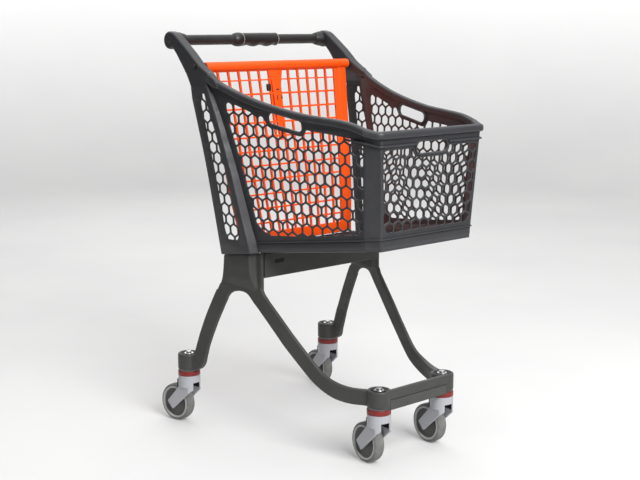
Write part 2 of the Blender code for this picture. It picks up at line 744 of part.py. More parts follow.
def fork(name, swivel):
    """A cup that closes round the wheel, with two slanting arms."""
    outline = [(-HOUSING_R, FORK_TOP), (-HOUSING_R, 0.0985), (-0.026, 0.0945), (0.0415, 0.033)]
    outline += [(0.060, 0.0535), (0.0185, 0.100), (HOUSING_R, CUP_FOOT), (HOUSING_R, FORK_TOP)]
    points = [Vector((-FORK_OUT, y, z)) for y, z in outline]
    body = plate(name, points, Vector((2 * FORK_OUT, 0, 0)), LIGHT)
    up = (0, 0, 1)
    cup_middle = (0, 0, (CUP_FOOT + FORK_TOP) / 2)
    cup = cylinder(name + "_cup", cup_middle, up, HOUSING_R, FORK_TOP - CUP_FOOT, LIGHT, 28, True)
    outside = cylinder(name + "_outside", (0, 0, 0.08), up, HOUSING_R, 0.12, LIGHT, 28, True)
    arms = box(name + "_arms", (-0.05, 0, 0.01), (0.05, 0.09, CUP_FOOT - 0.0005), LIGHT, True)
    join(outside, arms)
    keep = body.modifiers.new("round_front", "BOOLEAN")
    keep.operation = "INTERSECT"
    keep.object = outside
    join(body, cup)
    room_high = (FORK_IN, 0.1, FORK_ROOM_TOP)
    wheel_room = box(name + "_wheel_room", (-FORK_IN, -0.0225, 0.0), room_high, LIGHT, True)
    window_high = (0.0125, 0.0, FORK_ROOM_TOP - 0.001)
    window = box(name + "_window", (-0.0125, -0.04, 0.0), window_high, LIGHT, True)
    bore = cylinder(name + "_stem_bore", (0, 0, 0.12), up, STEM_BORE_R, 0.05, LIGHT, 12, True)
    length = 2 * FORK_OUT - 0.005
    axle_hole = cylinder(
        name + "_axle_hole", (0, TRAIL, WHEEL_R), (1, 0, 0), AXLE_R + GAP, length, LIGHT, 12, True
    )
    cut(body, wheel_room, window, bore, axle_hole)
    for item in (body, cup, outside, arms, wheel_room, window, bore, axle_hole):
        item.parent = swivel


def swivel_fittings(corner, x, y, swivel):
    """The seal ring on the fork, and the steel stem and its bolt head, which stay with the chassis."""
    rim = HOUSING_R + 0.0002
    profile = [(0.012, RING_TOP), (rim, RING_TOP), (rim, RING_FOOT), (0.012, RING_FOOT)]
    ring = turned(corner + "_seal_ring", profile, (0, 0, 0), RED, 24)
    ring.parent = swivel
    profile = [
        (0, STEM_TOP),
        (STEM_R, STEM_TOP),
        (STEM_R, HOUSING_FOOT - GAP),
        (HOUSING_R - 0.002, HOUSING_FOOT - GAP),
        (HOUSING_R - 0.002, RING_TOP + GAP),
        (STEM_R, RING_TOP + GAP),
        (STEM_R, STEM_FOOT),
        (0, STEM_FOOT),
    ]
    turned(corner + "_swivel_stem", profile, (x, y, 0), STEEL, 16, closed=False)
    seat = HOUSING_TOP - RECESS_DEPTH + GAP
    profile = [
        (0, seat + 0.0070),
        (0.0065, seat + 0.0070),
        (0.0075, seat + 0.0060),
        (0.0075, seat + 0.0018),
        (WASHER_R, seat + 0.0018),
        (WASHER_R, seat),
        (0, seat),
    ]
    turned(corner + "_stem_cap", profile, (x, y, 0), STEEL, 16, closed=False)


def wheel_and_axle(corner, wheel, swivel):
    length = 2 * FORK_OUT - 0.006
    axle = cylinder(corner + "_axle", (0, TRAIL, WHEEL_R), (1, 0, 0), AXLE_R, length, STEEL, 12)
    axle.parent = swivel
    edge = TYRE_HALF - 0.0004
    profile = [
        (TYRE_BORE, edge),
        (WHEEL_R - 0.0025, edge),
        (WHEEL_R, edge - 0.003),
        (WHEEL_R, 0.003 - edge),
        (WHEEL_R - 0.0025, -edge),
        (TYRE_BORE, -edge),
    ]
    tyre = turned(corner + "_tyre", profile, (0, 0, 0), TYRE, 36, "X")
    tyre.parent = wheel
    half = [
        (AXLE_R + GAP, 0.0168),
        (0.011, 0.0168),
        (0.011, 0.004),
        (0.0385, 0.004),
        (0.0385, edge),
        (TYRE_BORE - 0.0005, edge),
    ]
    profile = half + [(radius, -across) for radius, across in reversed(half)]
    hub = turned(corner + "_wheel_hub", profile, (0, 0, 0), HUB, 28, "X")
    hub.parent = wheel


def caster(corner):
    """One caster, hung on an empty at its swivel axis that carries another at its wheel's axis."""
    x, y, turn = CASTERS[corner]
    swivel = empty(corner + "_swivel_axis", (x, y, 0))
    wheel = empty(corner + "_wheel_axis", (0, TRAIL, WHEEL_R))
    wheel.parent = swivel
    fork(corner + "_fork", swivel)
    swivel_fittings(corner, x, y, swivel)
    wheel_and_axle(corner, wheel, swivel)
    swivel.rotation_euler.z = math.radians(turn)


# Build ----------------------------------------------------------------------------------------------------


def main():
    side_panel("side_panel_left", 1)
    side_panel("side_panel_right", -1)
    front_panel()
    floor_tray()
    handle()
    rear_flap()
    side_frame("side_frame_left", 1)
    side_frame("side_frame_right", -1)
    front_crossbar()
    cross_beams()
    for corner in CASTERS:
        caster(corner)
    for item in bpy.data.objects:
        if item.parent is None:
            item.location.y += CENTRING
    bpy.context.view_layer.update()


main()
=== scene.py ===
"""Looks for the compact shopping cart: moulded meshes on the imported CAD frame, procedural materials and a studio.

Metres, +Z up, the front faces -Y and +X is on the pusher's left. Each piece stands for the CAD nodes that it is
finished with, in the same place. One side of the basket and of the chassis is made, and the other mirrors it.
Pieces are drawn about the CAD's working origin, and CENTRING then moves them onto the middle of the cart.
"""

import math

import bmesh
import bpy
import numpy as np
from mathutils import Matrix, Vector


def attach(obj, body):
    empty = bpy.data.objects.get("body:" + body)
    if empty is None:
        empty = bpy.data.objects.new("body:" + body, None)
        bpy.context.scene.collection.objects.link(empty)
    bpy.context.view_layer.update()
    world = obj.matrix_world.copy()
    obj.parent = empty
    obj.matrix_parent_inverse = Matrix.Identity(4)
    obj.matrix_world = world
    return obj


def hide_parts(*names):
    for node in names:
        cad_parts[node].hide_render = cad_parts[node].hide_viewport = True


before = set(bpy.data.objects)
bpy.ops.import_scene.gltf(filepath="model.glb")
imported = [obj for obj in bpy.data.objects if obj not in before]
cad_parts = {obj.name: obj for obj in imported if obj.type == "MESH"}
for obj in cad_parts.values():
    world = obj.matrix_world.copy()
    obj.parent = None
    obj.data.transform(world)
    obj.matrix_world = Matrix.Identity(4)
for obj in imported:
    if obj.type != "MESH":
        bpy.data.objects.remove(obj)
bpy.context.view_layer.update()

# Sizes shared with the CAD --------------------------------------------------------------------------------

CENTRING = 0.0038
WALL_T = 0.0035
WALL_TAPER = 0.148
WALL_DRAFT = 0.065
STRIP_DRAFT = 0.077
FRONT_LEAN = 0.0504
FACET_Y = -0.329
HANDLE_Y = 0.305
HANDLE_Z = 1.020
HINGE_Y = 0.192
HINGE_Z = 0.953
FLAP_LEAN = math.radians(9.5)
FLAP_EDGE = [(0.237, 0.004), (0.2175, 0.270), (0.2095, 0.350), (0.1905, 0.465)]
# Each caster's half-width, y and turn about its swivel axis in degrees.
CASTERS = {
    "front_left": (0.112, -0.308, -4.5),
    "front_right": (-0.112, -0.308, -7.0),
    "rear_left": (0.2525, 0.275, -4.0),
    "rear_right": (-0.2525, 0.275, 11.0),
}
HOUSING_R = 0.0295
HOUSING_TOP = 0.193
TRAIL = 0.0425
WHEEL_R = 0.050
RIM_LINE = [
    (0.145, 0.943),
    (0.114, 0.922),
    (0.069, 0.904),
    (0.020, 0.888),
    (-0.023, 0.877),
    (-0.091, 0.863),
    (-0.157, 0.853),
    (-0.223, 0.8475),
    (-0.286, 0.841),
    (-0.333, 0.8285),
]
REAR_EDGE = [(0.142, 0.478), (0.162, 0.608), (0.181, 0.720), (0.203, 0.821), (0.215, 0.873)]
# Front face of the step's web at the strip's face and at the wall's face, top to bottom, as (y, z).
STEP_OUTER = [
    (0.166, 0.940),
    (0.141, 0.878),
    (0.118, 0.819),
    (0.099, 0.760),
    (0.080, 0.701),
    (0.064, 0.642),
    (0.043, 0.563),
    (0.031, 0.524),
    (0.024, 0.494),
]
STEP_INNER_SHIFT = -0.007
# The post's top, as (height, rear edge in Y, half-width and Y of its step's outer edge, and of its inner edge).
POST_STEP = [
    (0.500, 0.1340, 0.232, 0.0390, 0.212, 0.0350),
    (0.476, 0.1352, 0.232, 0.0392, 0.212, 0.0352),
    (0.450, 0.1380, 0.231, 0.0397, 0.212, 0.0355),
    (0.427, 0.1411, 0.227, 0.0380, 0.2115, 0.0340),
    (0.413, 0.1447, 0.222, 0.0360, 0.2115, 0.0320),
    (0.395, 0.1530, 0.215, 0.0320, 0.2135, 0.0280),
]
POST_REAR_X = 0.2385
POST_FRONT = (0.209, 0.017)  # half-width and Y of the post's front edge
POST_T = 0.009
REAR_LEG = [
    (0.2344, 0.145, 0.374, 0.010, 0.042),
    (0.2371, 0.1578, 0.350, 0.010, 0.042),
    (0.2422, 0.1828, 0.300, 0.010, 0.042),
    (0.2463, 0.2045, 0.250, 0.010, 0.042),
    (0.2477, 0.2142, 0.225, 0.011, 0.042),
    (0.2490, 0.2235, 0.198, 0.013, 0.041),
    (0.2508, 0.2330, 0.1765, 0.018, 0.041),
    (0.2520, 0.2530, 0.1720, 0.026, 0.040),
]
FRONT_LEG = [
    (0.2080, 0.0226, 0.371, 0.010, 0.041),
    (0.2036, 0.0024, 0.350, 0.010, 0.041),
    (0.1931, -0.0455, 0.300, 0.010, 0.042),
    (0.1876, -0.0691, 0.275, 0.010, 0.042),
    (0.1724, -0.130, 0.216, 0.011, 0.040),
    (0.1660, -0.160, 0.193, 0.012, 0.039),
    (0.1580, -0.200, 0.1765, 0.014, 0.040),
    (0.1450, -0.240, 0.1695, 0.017, 0.039),
    (0.1280, -0.280, 0.1700, 0.021, 0.038),
    (0.1150, -0.306, 0.1700, 0.024, 0.038),
]

# Honeycomb.
WALL_CELLS = {"pitch": 0.0312, "row": 0.0259, "origin": (0.0752, 0.8295)}
STRIP_CELLS = {"pitch": 0.0312, "row": 0.0259, "origin": (0.1601, 0.8325)}
FRONT_CELLS = {"pitch": 0.0294, "row": 0.0255, "origin": (0.0158, 0.5925)}
STRUT = 0.0048


def wall_x(y, z):
    """Half-width of the side wall's outer face."""
    return 0.227 + WALL_TAPER * (y + 0.075) - WALL_DRAFT * (0.865 - z)


def strip_x(z):
    return 0.240 + STRIP_DRAFT * (z - 0.478)


def foot_z(y):
    return 0.478 + 0.129 * (0.142 - y)


def facet_y(z):
    return FACET_Y - 0.053 * (z - 0.787)


def front_y(z):
    return -0.3654 - FRONT_LEAN * (z - 0.787)


def front_half(z):
    return 0.1697 + 0.0642 * (z - 0.787)


def plate_x(y):
    """Half-width of the middle plane that the post and the legs lie in."""
    return 0.2031 + 0.2156 * y


def along_line(points, value, axis=1):
    """The other coordinate of a line of 2-D points where its coordinate number axis is value."""
    ordered = sorted(points, key=lambda point: point[axis])
    return float(np.interp(value, [p[axis] for p in ordered], [p[1 - axis] for p in ordered]))


# Mesh helpers ---------------------------------------------------------------------------------------------


def add_object(name, mesh):
    made = bpy.data.objects.new(name, mesh)
    bpy.context.scene.collection.objects.link(made)
    return made


def from_bmesh(name, bm, turn=True):
    if turn:
        bmesh.ops.recalc_face_normals(bm, faces=bm.faces)
    mesh = bpy.data.meshes.new(name)
    bm.to_mesh(mesh)
    bm.free()
    return add_object(name, mesh)


def evaluated(item):
    bpy.context.view_layer.update()
    graph = bpy.context.evaluated_depsgraph_get()
    return bpy.data.meshes.new_from_object(item.evaluated_get(graph))


def smooth_line(points, steps=5):
    """Points along a smooth curve through the given ones, which may have any number of coordinates."""
    given = np.array(points, float)
    ends = np.vstack([2 * given[0] - given[1], given, 2 * given[-1] - given[-2]])
    found = []
    for i in range(1, len(ends) - 2):
        a, b, c, d = ends[i - 1 : i + 3]
        for t in np.arange(steps) / steps:
            found.append(
                b + (c - a) * t / 2 + (a - 2.5 * b + 2 * c - d / 2) * t**2 + (1.5 * (b - c) + (d - a) / 2) * t**3
            )
    return found + [given[-1]]


def soften(points, reach, closed=True, steps=3):
    """The outline with each corner turned into a short curve, a shorter one where its sides are short."""
    corners = [np.array(point, float) for point in points]
    corners = [c for i, c in enumerate(corners) if i == 0 or np.linalg.norm(c - corners[i - 1]) > 1e-5]
    count = len(corners)
    found = []
    for i, corner in enumerate(corners):
        if not closed and i in (0, count - 1):
            found.append(corner)
            continue
        before = corners[i - 1] - corner
        after = corners[(i + 1) % count] - corner
        start = corner + before * min(0.45, reach / max(np.linalg.norm(before), 1e-9))
        end = corner + after * min(0.45, reach / max(np.linalg.norm(after), 1e-9))
        for t in np.arange(steps + 1) / steps:
            found.append(start * (1 - t) ** 2 + corner * 2 * t * (1 - t) + end * t * t)
    return found


def arc(centre, radius, first, last, steps):
    angles = np.radians(np.linspace(first, last, steps + 1))
    return [(centre[0] + radius * math.cos(a), centre[1] + radius * math.sin(a)) for a in angles]


def slot_outline(centre, along, half, radius, steps=10):
    """A long hole with round ends. along is its direction as a 2-D unit vector, half its half-length between ends."""
    turn = math.degrees(math.atan2(along[1], along[0]))
    far = (centre[0] + along[0] * half, centre[1] + along[1] * half)
    near = (centre[0] - along[0] * half, centre[1] - along[1] * half)
    return arc(far, radius, turn - 90, turn + 90, steps) + arc(near, radius, turn + 90, turn + 270, steps)


def flat_solid(outline, holes, thickness, bevel, place, steps=2):
    """A plate with rounded edges. It is drawn in millimetres in its own plane, and place puts each point in space."""
    curve = bpy.data.curves.new("plate", "CURVE")
    curve.dimensions = "2D"
    curve.fill_mode = "BOTH"
    curve.extrude = (thickness / 2 - bevel) * 1000
    curve.bevel_depth = bevel * 1000
    curve.bevel_resolution = steps
    curve.offset = -bevel * 1000
    for loop in [outline, *holes]:
        spline = curve.splines.new("POLY")
        spline.points.add(len(loop) - 1)
        for point, (u, v) in zip(spline.points, loop):
            point.co = (u * 1000, v * 1000, 0, 1)
        spline.use_cyclic_u = True
    drawn = bpy.data.objects.new("plate", curve)
    bpy.context.scene.collection.objects.link(drawn)
    mesh = evaluated(drawn)
    bpy.data.objects.remove(drawn)
    bm = bmesh.new()
    bm.from_mesh(mesh)
    bpy.data.meshes.remove(mesh)
    bmesh.ops.remove_doubles(bm, verts=bm.verts, dist=0.005)
    for vert in bm.verts:
        vert.co = place(vert.co.x / 1000, vert.co.y / 1000, vert.co.z / 1000)
    return from_bmesh("plate", bm)


def loft(sections, closed=False):
    """A solid through sections with equal numbers of points. A closed one is a ring with no ends."""
    bm = bmesh.new()
    rings = [[bm.verts.new(point) for point in section] for section in sections]
    pairs = list(zip(rings, rings[1:]))
    if closed:
        pairs.append((rings[-1], rings[0]))
    else:
        bm.faces.new(rings[0][::-1])
        bm.faces.new(rings[-1])
    for first, second in pairs:
        for i in range(len(first)):
            j = (i + 1) % len(first)
            bm.faces.new((first[i], first[j], second[j], second[i]))
    return from_bmesh("loft", bm)


def round_rect(width, height, radius, steps=4):
    radius = min(radius, 0.49 * width, 0.49 * height)
    found = []
    for i, (across, up) in enumerate(((1, 1), (-1, 1), (-1, -1), (1, -1))):
        centre = (across * (width / 2 - radius), up * (height / 2 - radius))
        found += arc(centre, radius, 90 * i, 90 * i + 90, steps)
    return found


def bar(stations, radius, shift=(0, 0)):
    """A rounded bar along (x, y, z, width, height) stations, its width level. shift moves it across and upward."""
    points = [Vector(station[:3]) for station in stations]
    sections = []
    for i, station in enumerate(stations):
        along = points[min(i + 1, len(points) - 1)] - points[max(i - 1, 0)]
        across = Vector((0, 0, 1)).cross(along).normalized()
        upward = along.cross(across).normalized()
        outline = round_rect(station[3], station[4], radius)
        sections.append([points[i] + across * (a + shift[0]) + upward * (b + shift[1]) for a, b in outline])
    return loft(sections)


def moulding(path, profile):
    """A profile of (outward, upward) carried along a path of (point, outward vector, drop of the profile's foot)."""
    upward = Vector((0, 0, 1))
    sections = []
    for point, out, *drop in path:
        sag = drop[0] if drop else 0
        corners = [(o, h - sag * max(0, 1 - h / 0.02)) for o, h in profile]
        sections.append([Vector(point) + Vector(out) * o + upward * h for o, h in corners])
    return loft(sections)


def lathe(profile, segments=72, closed=False, axis="Z"):
    """A profile of (radius, height) turned about Z or X."""
    bm = bmesh.new()
    angles = np.arange(segments) * 2 * math.pi / segments
    rings = []
    for radius, height in profile:
        if radius < 1e-6:
            ring = [(0, 0, height)]
        else:
            ring = [(radius * math.cos(a), radius * math.sin(a), height) for a in angles]
        if axis == "X":
            ring = [(z, x, y) for x, y, z in ring]
        rings.append([bm.verts.new(point) for point in ring])
    pairs = list(zip(rings, rings[1:]))
    if closed:
        pairs.append((rings[-1], rings[0]))
    for first, second in pairs:
        for i in range(segments):
            j = (i + 1) % segments
            corners = [first[i % len(first)], first[j % len(first)], second[j % len(second)], second[i % len(second)]]
            bm.faces.new(list(dict.fromkeys(corners)))
    return from_bmesh("turned", bm)


def merge(name, parts, smooth=32):
    """Joins objects into one, its soft edges shaded smooth."""
    bm = bmesh.new()
    for part in parts:
        mesh = evaluated(part)
        mesh.transform(part.matrix_world)
        bm.from_mesh(mesh)
        bpy.data.meshes.remove(mesh)
        bpy.data.objects.remove(part)
    made = from_bmesh(name, bm, turn=False)
    made.data.shade_smooth()
    made.data.set_sharp_from_angle(angle=math.radians(smooth))
    return made


def boolean(target, operation, tool):
    """Applies one Boolean and removes the tool."""
    step = target.modifiers.new("shape", "BOOLEAN")
    step.operation = operation
    step.object = tool
    mesh = evaluated(target)
    target.modifiers.clear()
    target.data = mesh
    bpy.data.objects.remove(tool)
    return target


def moulded(parts, voxel, passes=5):
    """Fuses closed solids into one skin with small fillets, as a moulding or casting has."""
    body = merge("moulded", parts)
    fuse = body.modifiers.new("fuse", "REMESH")
    fuse.mode = "VOXEL"
    fuse.voxel_size = voxel * 1
    fuse.use_smooth_shade = True
    ease = body.modifiers.new("ease", "SMOOTH")
    ease.factor = 0.5
    ease.iterations = passes
    body.data = evaluated(body)
    body.modifiers.clear()
    return body


def mirrored(item, name):
    """A copy of an object on the other side of X = 0."""
    bm = bmesh.new()
    bm.from_mesh(item.data)
    for vert in bm.verts:
        vert.co.x = -vert.co.x
    bmesh.ops.reverse_faces(bm, faces=bm.faces)
    made = from_bmesh(name, bm, turn=False)
    for finish in item.data.materials:
        made.data.materials.append(finish)
    return made


def moved(item, offset):
    item.data.transform(Matrix.Translation(Vector(offset)))
    return item


def finish(item, name, look, body, slot, *nodes):
    """Names a piece, paints it, rides it on its body, and hides the CAD nodes that it stands for."""
    item.name = name
    item.data.name = name
    item.data.materials.clear()
    item.data.materials.append(look)
    item.location.y += CENTRING
    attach(item, body)
    if nodes:
        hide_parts(*nodes)
    return item


# Honeycomb ------------------------------------------------------------------------------------------------


def clipped(polygon, corners):
    """The part of a polygon inside a convex one whose corners run counterclockwise."""
    for i in range(len(corners)):
        ax, ay = corners[i - 1]
        bx, by = corners[i]
        kept = []
        for j in range(len(polygon)):
            p, q = polygon[j - 1], polygon[j]
            side_p = (bx - ax) * (p[1] - ay) - (by - ay) * (p[0] - ax)
            side_q = (bx - ax) * (q[1] - ay) - (by - ay) * (q[0] - ax)
            if (side_p >= 0) != (side_q >= 0):
                share = side_p / (side_p - side_q)
                kept.append((p[0] + (q[0] - p[0]) * share, p[1] + (q[1] - p[1]) * share))
            if side_q >= 0:
                kept.append(q)
        polygon = kept
    return polygon


def area_and_length(polygon):
    area = 0
    length = 0
    for p, q in zip(polygon, polygon[1:] + polygon[:1]):
        area += (p[0] * q[1] - q[0] * p[1]) / 2
        length += math.hypot(q[0] - p[0], q[1] - p[1])
    return abs(area), length


def honeycomb(field, cells):
    """Rounded hexagonal holes that fill a field, cut off at its edges. Slivers are left out."""
    pitch, row = cells["pitch"], cells["row"]
    u0, v0 = cells["origin"]
    half = (pitch - STRUT) / 2
    high = half * 2 / math.sqrt(3) * row / (pitch * math.sqrt(3) / 2)
    hexagon = [(half, -high / 2), (half, high / 2), (0, high), (-half, high / 2), (-half, -high / 2), (0, -high)]
    us = [u for u, v in field]
    vs = [v for u, v in field]
    holes = []
    for j in range(math.floor((min(vs) - v0) / row), math.ceil((max(vs) - v0) / row) + 1):
        start = u0 + (j % 2) * pitch / 2
        for i in range(math.floor((min(us) - start) / pitch) - 1, math.ceil((max(us) - start) / pitch) + 2):
            centre = (start + i * pitch, v0 + j * row)
            cell = clipped(field, [(centre[0] + a, centre[1] + b) for a, b in hexagon])
            if len(cell) < 3:
                continue
            area, length = area_and_length(cell)
            if area > 4e-5 and area / length > 0.0016:
                holes.append(soften(cell, 0.0035))
    return holes


# The basket's surfaces ------------------------------------------------------------------------------------

WALL_OUT = Vector((1, -WALL_TAPER, -WALL_DRAFT)).normalized()
STRIP_OUT = Vector((1, 0, -STRIP_DRAFT)).normalized()
FRONT_OUT = Vector((0, -1, -FRONT_LEAN)).normalized()


def place_wall(y, z, w):
    return Vector((wall_x(y, z), y, z)) + WALL_OUT * (w - WALL_T / 2)


def place_strip(y, z, w):
    return Vector((strip_x(z), y, z)) + STRIP_OUT * (w - WALL_T / 2)


def place_front(x, z, w):
    return Vector((x, front_y(z), z)) + FRONT_OUT * (w - WALL_T / 2)


def slot_lip(outline, place, inward, outward, width):
    """A rounded lip round a hand hole, drawn in the wall's own plane."""
    count = len(outline)
    depth = inward + outward
    sections = []
    for i in range(count):
        before, after = outline[i - 1], outline[(i + 1) % count]
        along = Vector((after[0] - before[0], after[1] - before[1])).normalized()
        out = Vector((along.y, -along.x))
        section = []
        for a, b in round_rect(width, depth, 0.0014, 3):
            u = outline[i][0] + out.x * a
            v = outline[i][1] + out.y * a
            section.append(place(u, v, b + (outward - inward) / 2))
        sections.append(section)
    return loft(sections, closed=True)


SIDE_HOLE = (-0.090, 0.829)
SIDE_HOLE_ALONG = (0.985, 0.173)
SIDE_HOLE_HALF = 0.0415
SIDE_HOLE_R = 0.0135
FRONT_HOLE = (0.0, 0.7775)
FRONT_HOLE_HALF = 0.0385
FRONT_HOLE_R = 0.0145
RIM_TO_FIELD = 0.039
HOLE_BORDER = 0.010
FACET_SEAM = 0.004


def side_field():
    """The edge of the side wall's honeycomb, which dips under the hand hole."""
    reach = SIDE_HOLE_HALF + SIDE_HOLE_R + HOLE_BORDER
    radius = SIDE_HOLE_R + HOLE_BORDER
    top = []
    for y in np.linspace(-0.318, 0.100, 60):
        z = along_line(RIM_LINE, y, 0) - RIM_TO_FIELD
        off = abs(y - SIDE_HOLE[0])
        if off < reach:
            drop = math.sqrt(radius**2 - max(0, off - SIDE_HOLE_HALF) ** 2)
            z = min(z, SIDE_HOLE[1] + (y - SIDE_HOLE[0]) * SIDE_HOLE_ALONG[1] - drop)
        top.append((float(y), z))
    rear = [(step_inner(z) - 0.018, z) for z in (0.830, 0.760, 0.700, 0.640, 0.600)]
    corner = [(0.021, 0.573), (0.000, 0.5535), (-0.026, 0.545)]
    foot = [(y, foot_z(y) + 0.041) for y in (-0.130, -0.230, -0.300)]
    front = [(facet_y(z) + 0.0065, z) for z in (0.590, 0.790)]
    return top + rear + corner + foot + front


def strip_field():
    front = [(step_outer(z) + 0.020, z) for z in (0.545, 0.600, 0.700, 0.800, 0.870)]
    top = [(0.163, 0.889), (0.180, 0.889)]
    rear = [(along_line(REAR_EDGE, z) - 0.031, z) for z in (0.860, 0.800, 0.700, 0.600, 0.545)]
    return front + top + rear + [(0.112, 0.522), (0.072, 0.524)]


def front_field():
    margin = 0.0088
    half = [(front_half(0.777) - margin, 0.771), (front_half(0.600) - margin, 0.602), (0.136, 0.5835)]
    top = [(0.155 - 0.004, 0.777)]
    hole = [(x, z) for x, z in hole_dip()]
    right = half[::-1] + top
    return right + hole + [(-x, z) for x, z in right[::-1]]


def hole_dip():
    """Down and round the front hand hole's border, from +X to -X, below the field's top edge."""
    radius = FRONT_HOLE_R + HOLE_BORDER - 0.001
    right = arc((FRONT_HOLE_HALF, FRONT_HOLE[1]), radius, 0, -90, 8)
    return right + [(-x, z) for x, z in right[::-1]]


def step_outer(z):
    return along_line(STEP_OUTER, z)


def step_inner(z):
    return step_outer(z) + STEP_INNER_SHIFT


# Side of the basket ---------------------------------------------------------------------------------------

RIM_PROFILE = soften(
    [(-0.0075, -0.018), (0.0095, -0.0185), (0.012, -0.014), (0.0115, -0.004), (0.006, 0.0), (-0.0035, 0.0), (-0.0075, -0.004)],
    0.0035,
)
BAND_PROFILE = soften(
    [(-0.012, 0.0), (-0.004, 0.0), (0.002, 0.008), (0.0022, 0.0275), (-0.002, 0.030), (-0.012, 0.012)],
    0.006,
    steps=4,
)
BAND_LIP = soften([(-0.002, 0.0265), (0.0062, 0.0272), (0.0062, 0.0300), (-0.002, 0.0306)], 0.0012)
RIDGE_PROFILE = soften([(-0.002, -0.0032), (0.0068, -0.0018), (0.0068, 0.0018), (-0.002, 0.0026)], 0.0014)
SEAM_OUT = (1.0, -0.26, 0)


def side_wall():
    """The honeycomb wall between the step and the corner facet."""
    rear = [(step_inner(z) + 0.004, z) for z in (0.497, 0.563, 0.642, 0.701, 0.760, 0.819, 0.900)]
    top = [(0.150, 0.915)] + [(y, z - 0.009) for y, z in RIM_LINE[1:]]
    front = [(facet_y(z) + 0.0003, z) for z in (0.815, foot_z(FACET_Y))]
    hole = slot_outline(SIDE_HOLE, SIDE_HOLE_ALONG, SIDE_HOLE_HALF, SIDE_HOLE_R + 0.002)
    cells = honeycomb(side_field(), WALL_CELLS)
    wall = flat_solid(rear + top + front, [hole, *cells], WALL_T, 0.0008, place_wall)
    lip_line = slot_outline(SIDE_HOLE, SIDE_HOLE_ALONG, SIDE_HOLE_HALF, SIDE_HOLE_R + 0.0016)
    return [wall, slot_lip(lip_line, place_wall, 0.006, 0.0025, 0.0042)]


def rear_strip():
    """The outer strip behind the step, with its narrow honeycomb."""
    rear = smooth_line(REAR_EDGE)
    front = [(step_outer(z) + 0.003, z) for z in (0.905, 0.819, 0.760, 0.701, 0.642, 0.563, 0.4945)]
    outline = [tuple(point) for point in rear] + [(0.2170, 0.903)] + front
    return flat_solid(outline, honeycomb(strip_field(), STRIP_CELLS), WALL_T, 0.0008, place_strip)


def step_web():
    """The web that joins the strip to the wall, which is set further in."""
    sections = []
    for y, z in smooth_line(STEP_OUTER, 4):
        outer = strip_x(z) - 0.0003
        inner = wall_x(y, z) - WALL_T - 0.001
        front_inner = y + STEP_INNER_SHIFT
        sections.append(
            [
                Vector((outer, y, z)),
                Vector((inner, front_inner, z)),
                Vector((inner, front_inner + 0.008, z)),
                Vector((outer, y + 0.008, z)),
            ]
        )
    return loft(sections)


def arm():
    """The arm that carries the handle, from its knob down to the rim and the strip."""
    knob = arc((HANDLE_Y, HANDLE_Z), 0.023, -128, 98, 16)
    top = [(0.2990, 1.0422), (0.282, 1.0370), (0.252, 1.0170), (0.213, 0.989), (0.180, 0.962), (0.147, 0.9425)]
    top = smooth_line(top)
    crotch = [(0.114, 0.922), (0.108, 0.902), (0.130, 0.906), (0.152, 0.917), (0.160, 0.922), (0.153, 0.903)]
    foot = [(0.150, 0.894), (0.2165, 0.894)]
    under = smooth_line([(0.219, 0.905), (0.233, 0.930), (0.250, 0.955), (0.271, 0.9815), (0.2912, 1.0015)])
    outline = knob + [tuple(p) for p in top] + crotch + foot + [tuple(p) for p in under[:-1]]

    def place(y, z, w):
        outside = min(strip_x(z), 0.278) - 0.0002
        sunk = min(1, max(0, (0.938 - z) / 0.040))
        inside = 0.250 + (outside - 0.006 - 0.250) * sunk * sunk * (3 - 2 * sunk)
        return Vector((outside + (inside - outside) * (0.5 - w / 0.028), y, z))

    body = flat_solid(soften(outline, 0.004), [], 0.028, 0.0065, place, 4)
    pocket = moved(lathe([(0, -0.008), (0.0078, -0.008), (0.0078, 0.01), (0, 0.01)], 32, axis="X"), (0.278, HANDLE_Y, HANDLE_Z))
    body = boolean(body, "DIFFERENCE", pocket)
    pocket = moved(lathe([(0, -0.004), (0.0075, -0.004), (0.0075, 0.01), (0, 0.01)], 32, axis="X"), (0.277, HINGE_Y, HINGE_Z))
    return boolean(body, "DIFFERENCE", pocket)


def side_rim():
    path = []
    for y, z in smooth_line(RIM_LINE):
        path.append(((wall_x(y, z), y, z), (1.0, -0.02 - 0.24 * max(0, min(1, (-0.26 - y) / 0.07)), 0)))
    return moulding(path, RIM_PROFILE)


def side_bands():
    """The plain band round the foot with its lip, and the short end of the corner's ridge."""
    path = []
    for y in np.linspace(0.017, facet_y(0.54) + 0.0003, 12):
        path.append(((wall_x(y, foot_z(y)), y, foot_z(y)), (1.0, -0.02 - 0.24 * max(0, (-0.26 - y) / 0.07), 0)))
    ridge = []
    for y in np.linspace(-0.268, facet_y(0.787) + 0.0003, 6):
        share = min(1, (-0.268 - y) / 0.03 + 0.1)
        ridge.append(((wall_x(y, 0.792), y, 0.7945 + 0.08 * (y + 0.329)), (share, -0.26 * share, 0)))
    return [moulding(path, BAND_PROFILE), moulding(path, BAND_LIP), moulding(ridge, RIDGE_PROFILE)]


def basket_side():
    thick = moulded([arm(), side_rim(), step_web()], 0.0018)
    return merge("basket_side", [thick, *side_wall(), rear_strip(), *side_bands()])


# Front of the basket --------------------------------------------------------------------------------------


def corner_line(z):
    """Plan of the rounded corner at one height, from the facet's rear edge to the front wall."""
    y = facet_y(z)
    rear = (wall_x(y, z), y)
    corner = (front_half(z), front_y(z))
    flat = (front_half(z) - FACET_SEAM, front_y(z))
    return [tuple(point) for point in soften([rear, corner, flat], 0.003, closed=False, steps=4)]


def outward_along(line):
    """Unit vectors square to a plan line that runs from +X to -X round the front."""
    points = [Vector(point) for point in line]
    found = []
    for i in range(len(points)):
        along = points[min(i + 1, len(points) - 1)] - points[max(i - 1, 0)]
        found.append(Vector((-along.y, along.x, 0)).normalized())
    return found


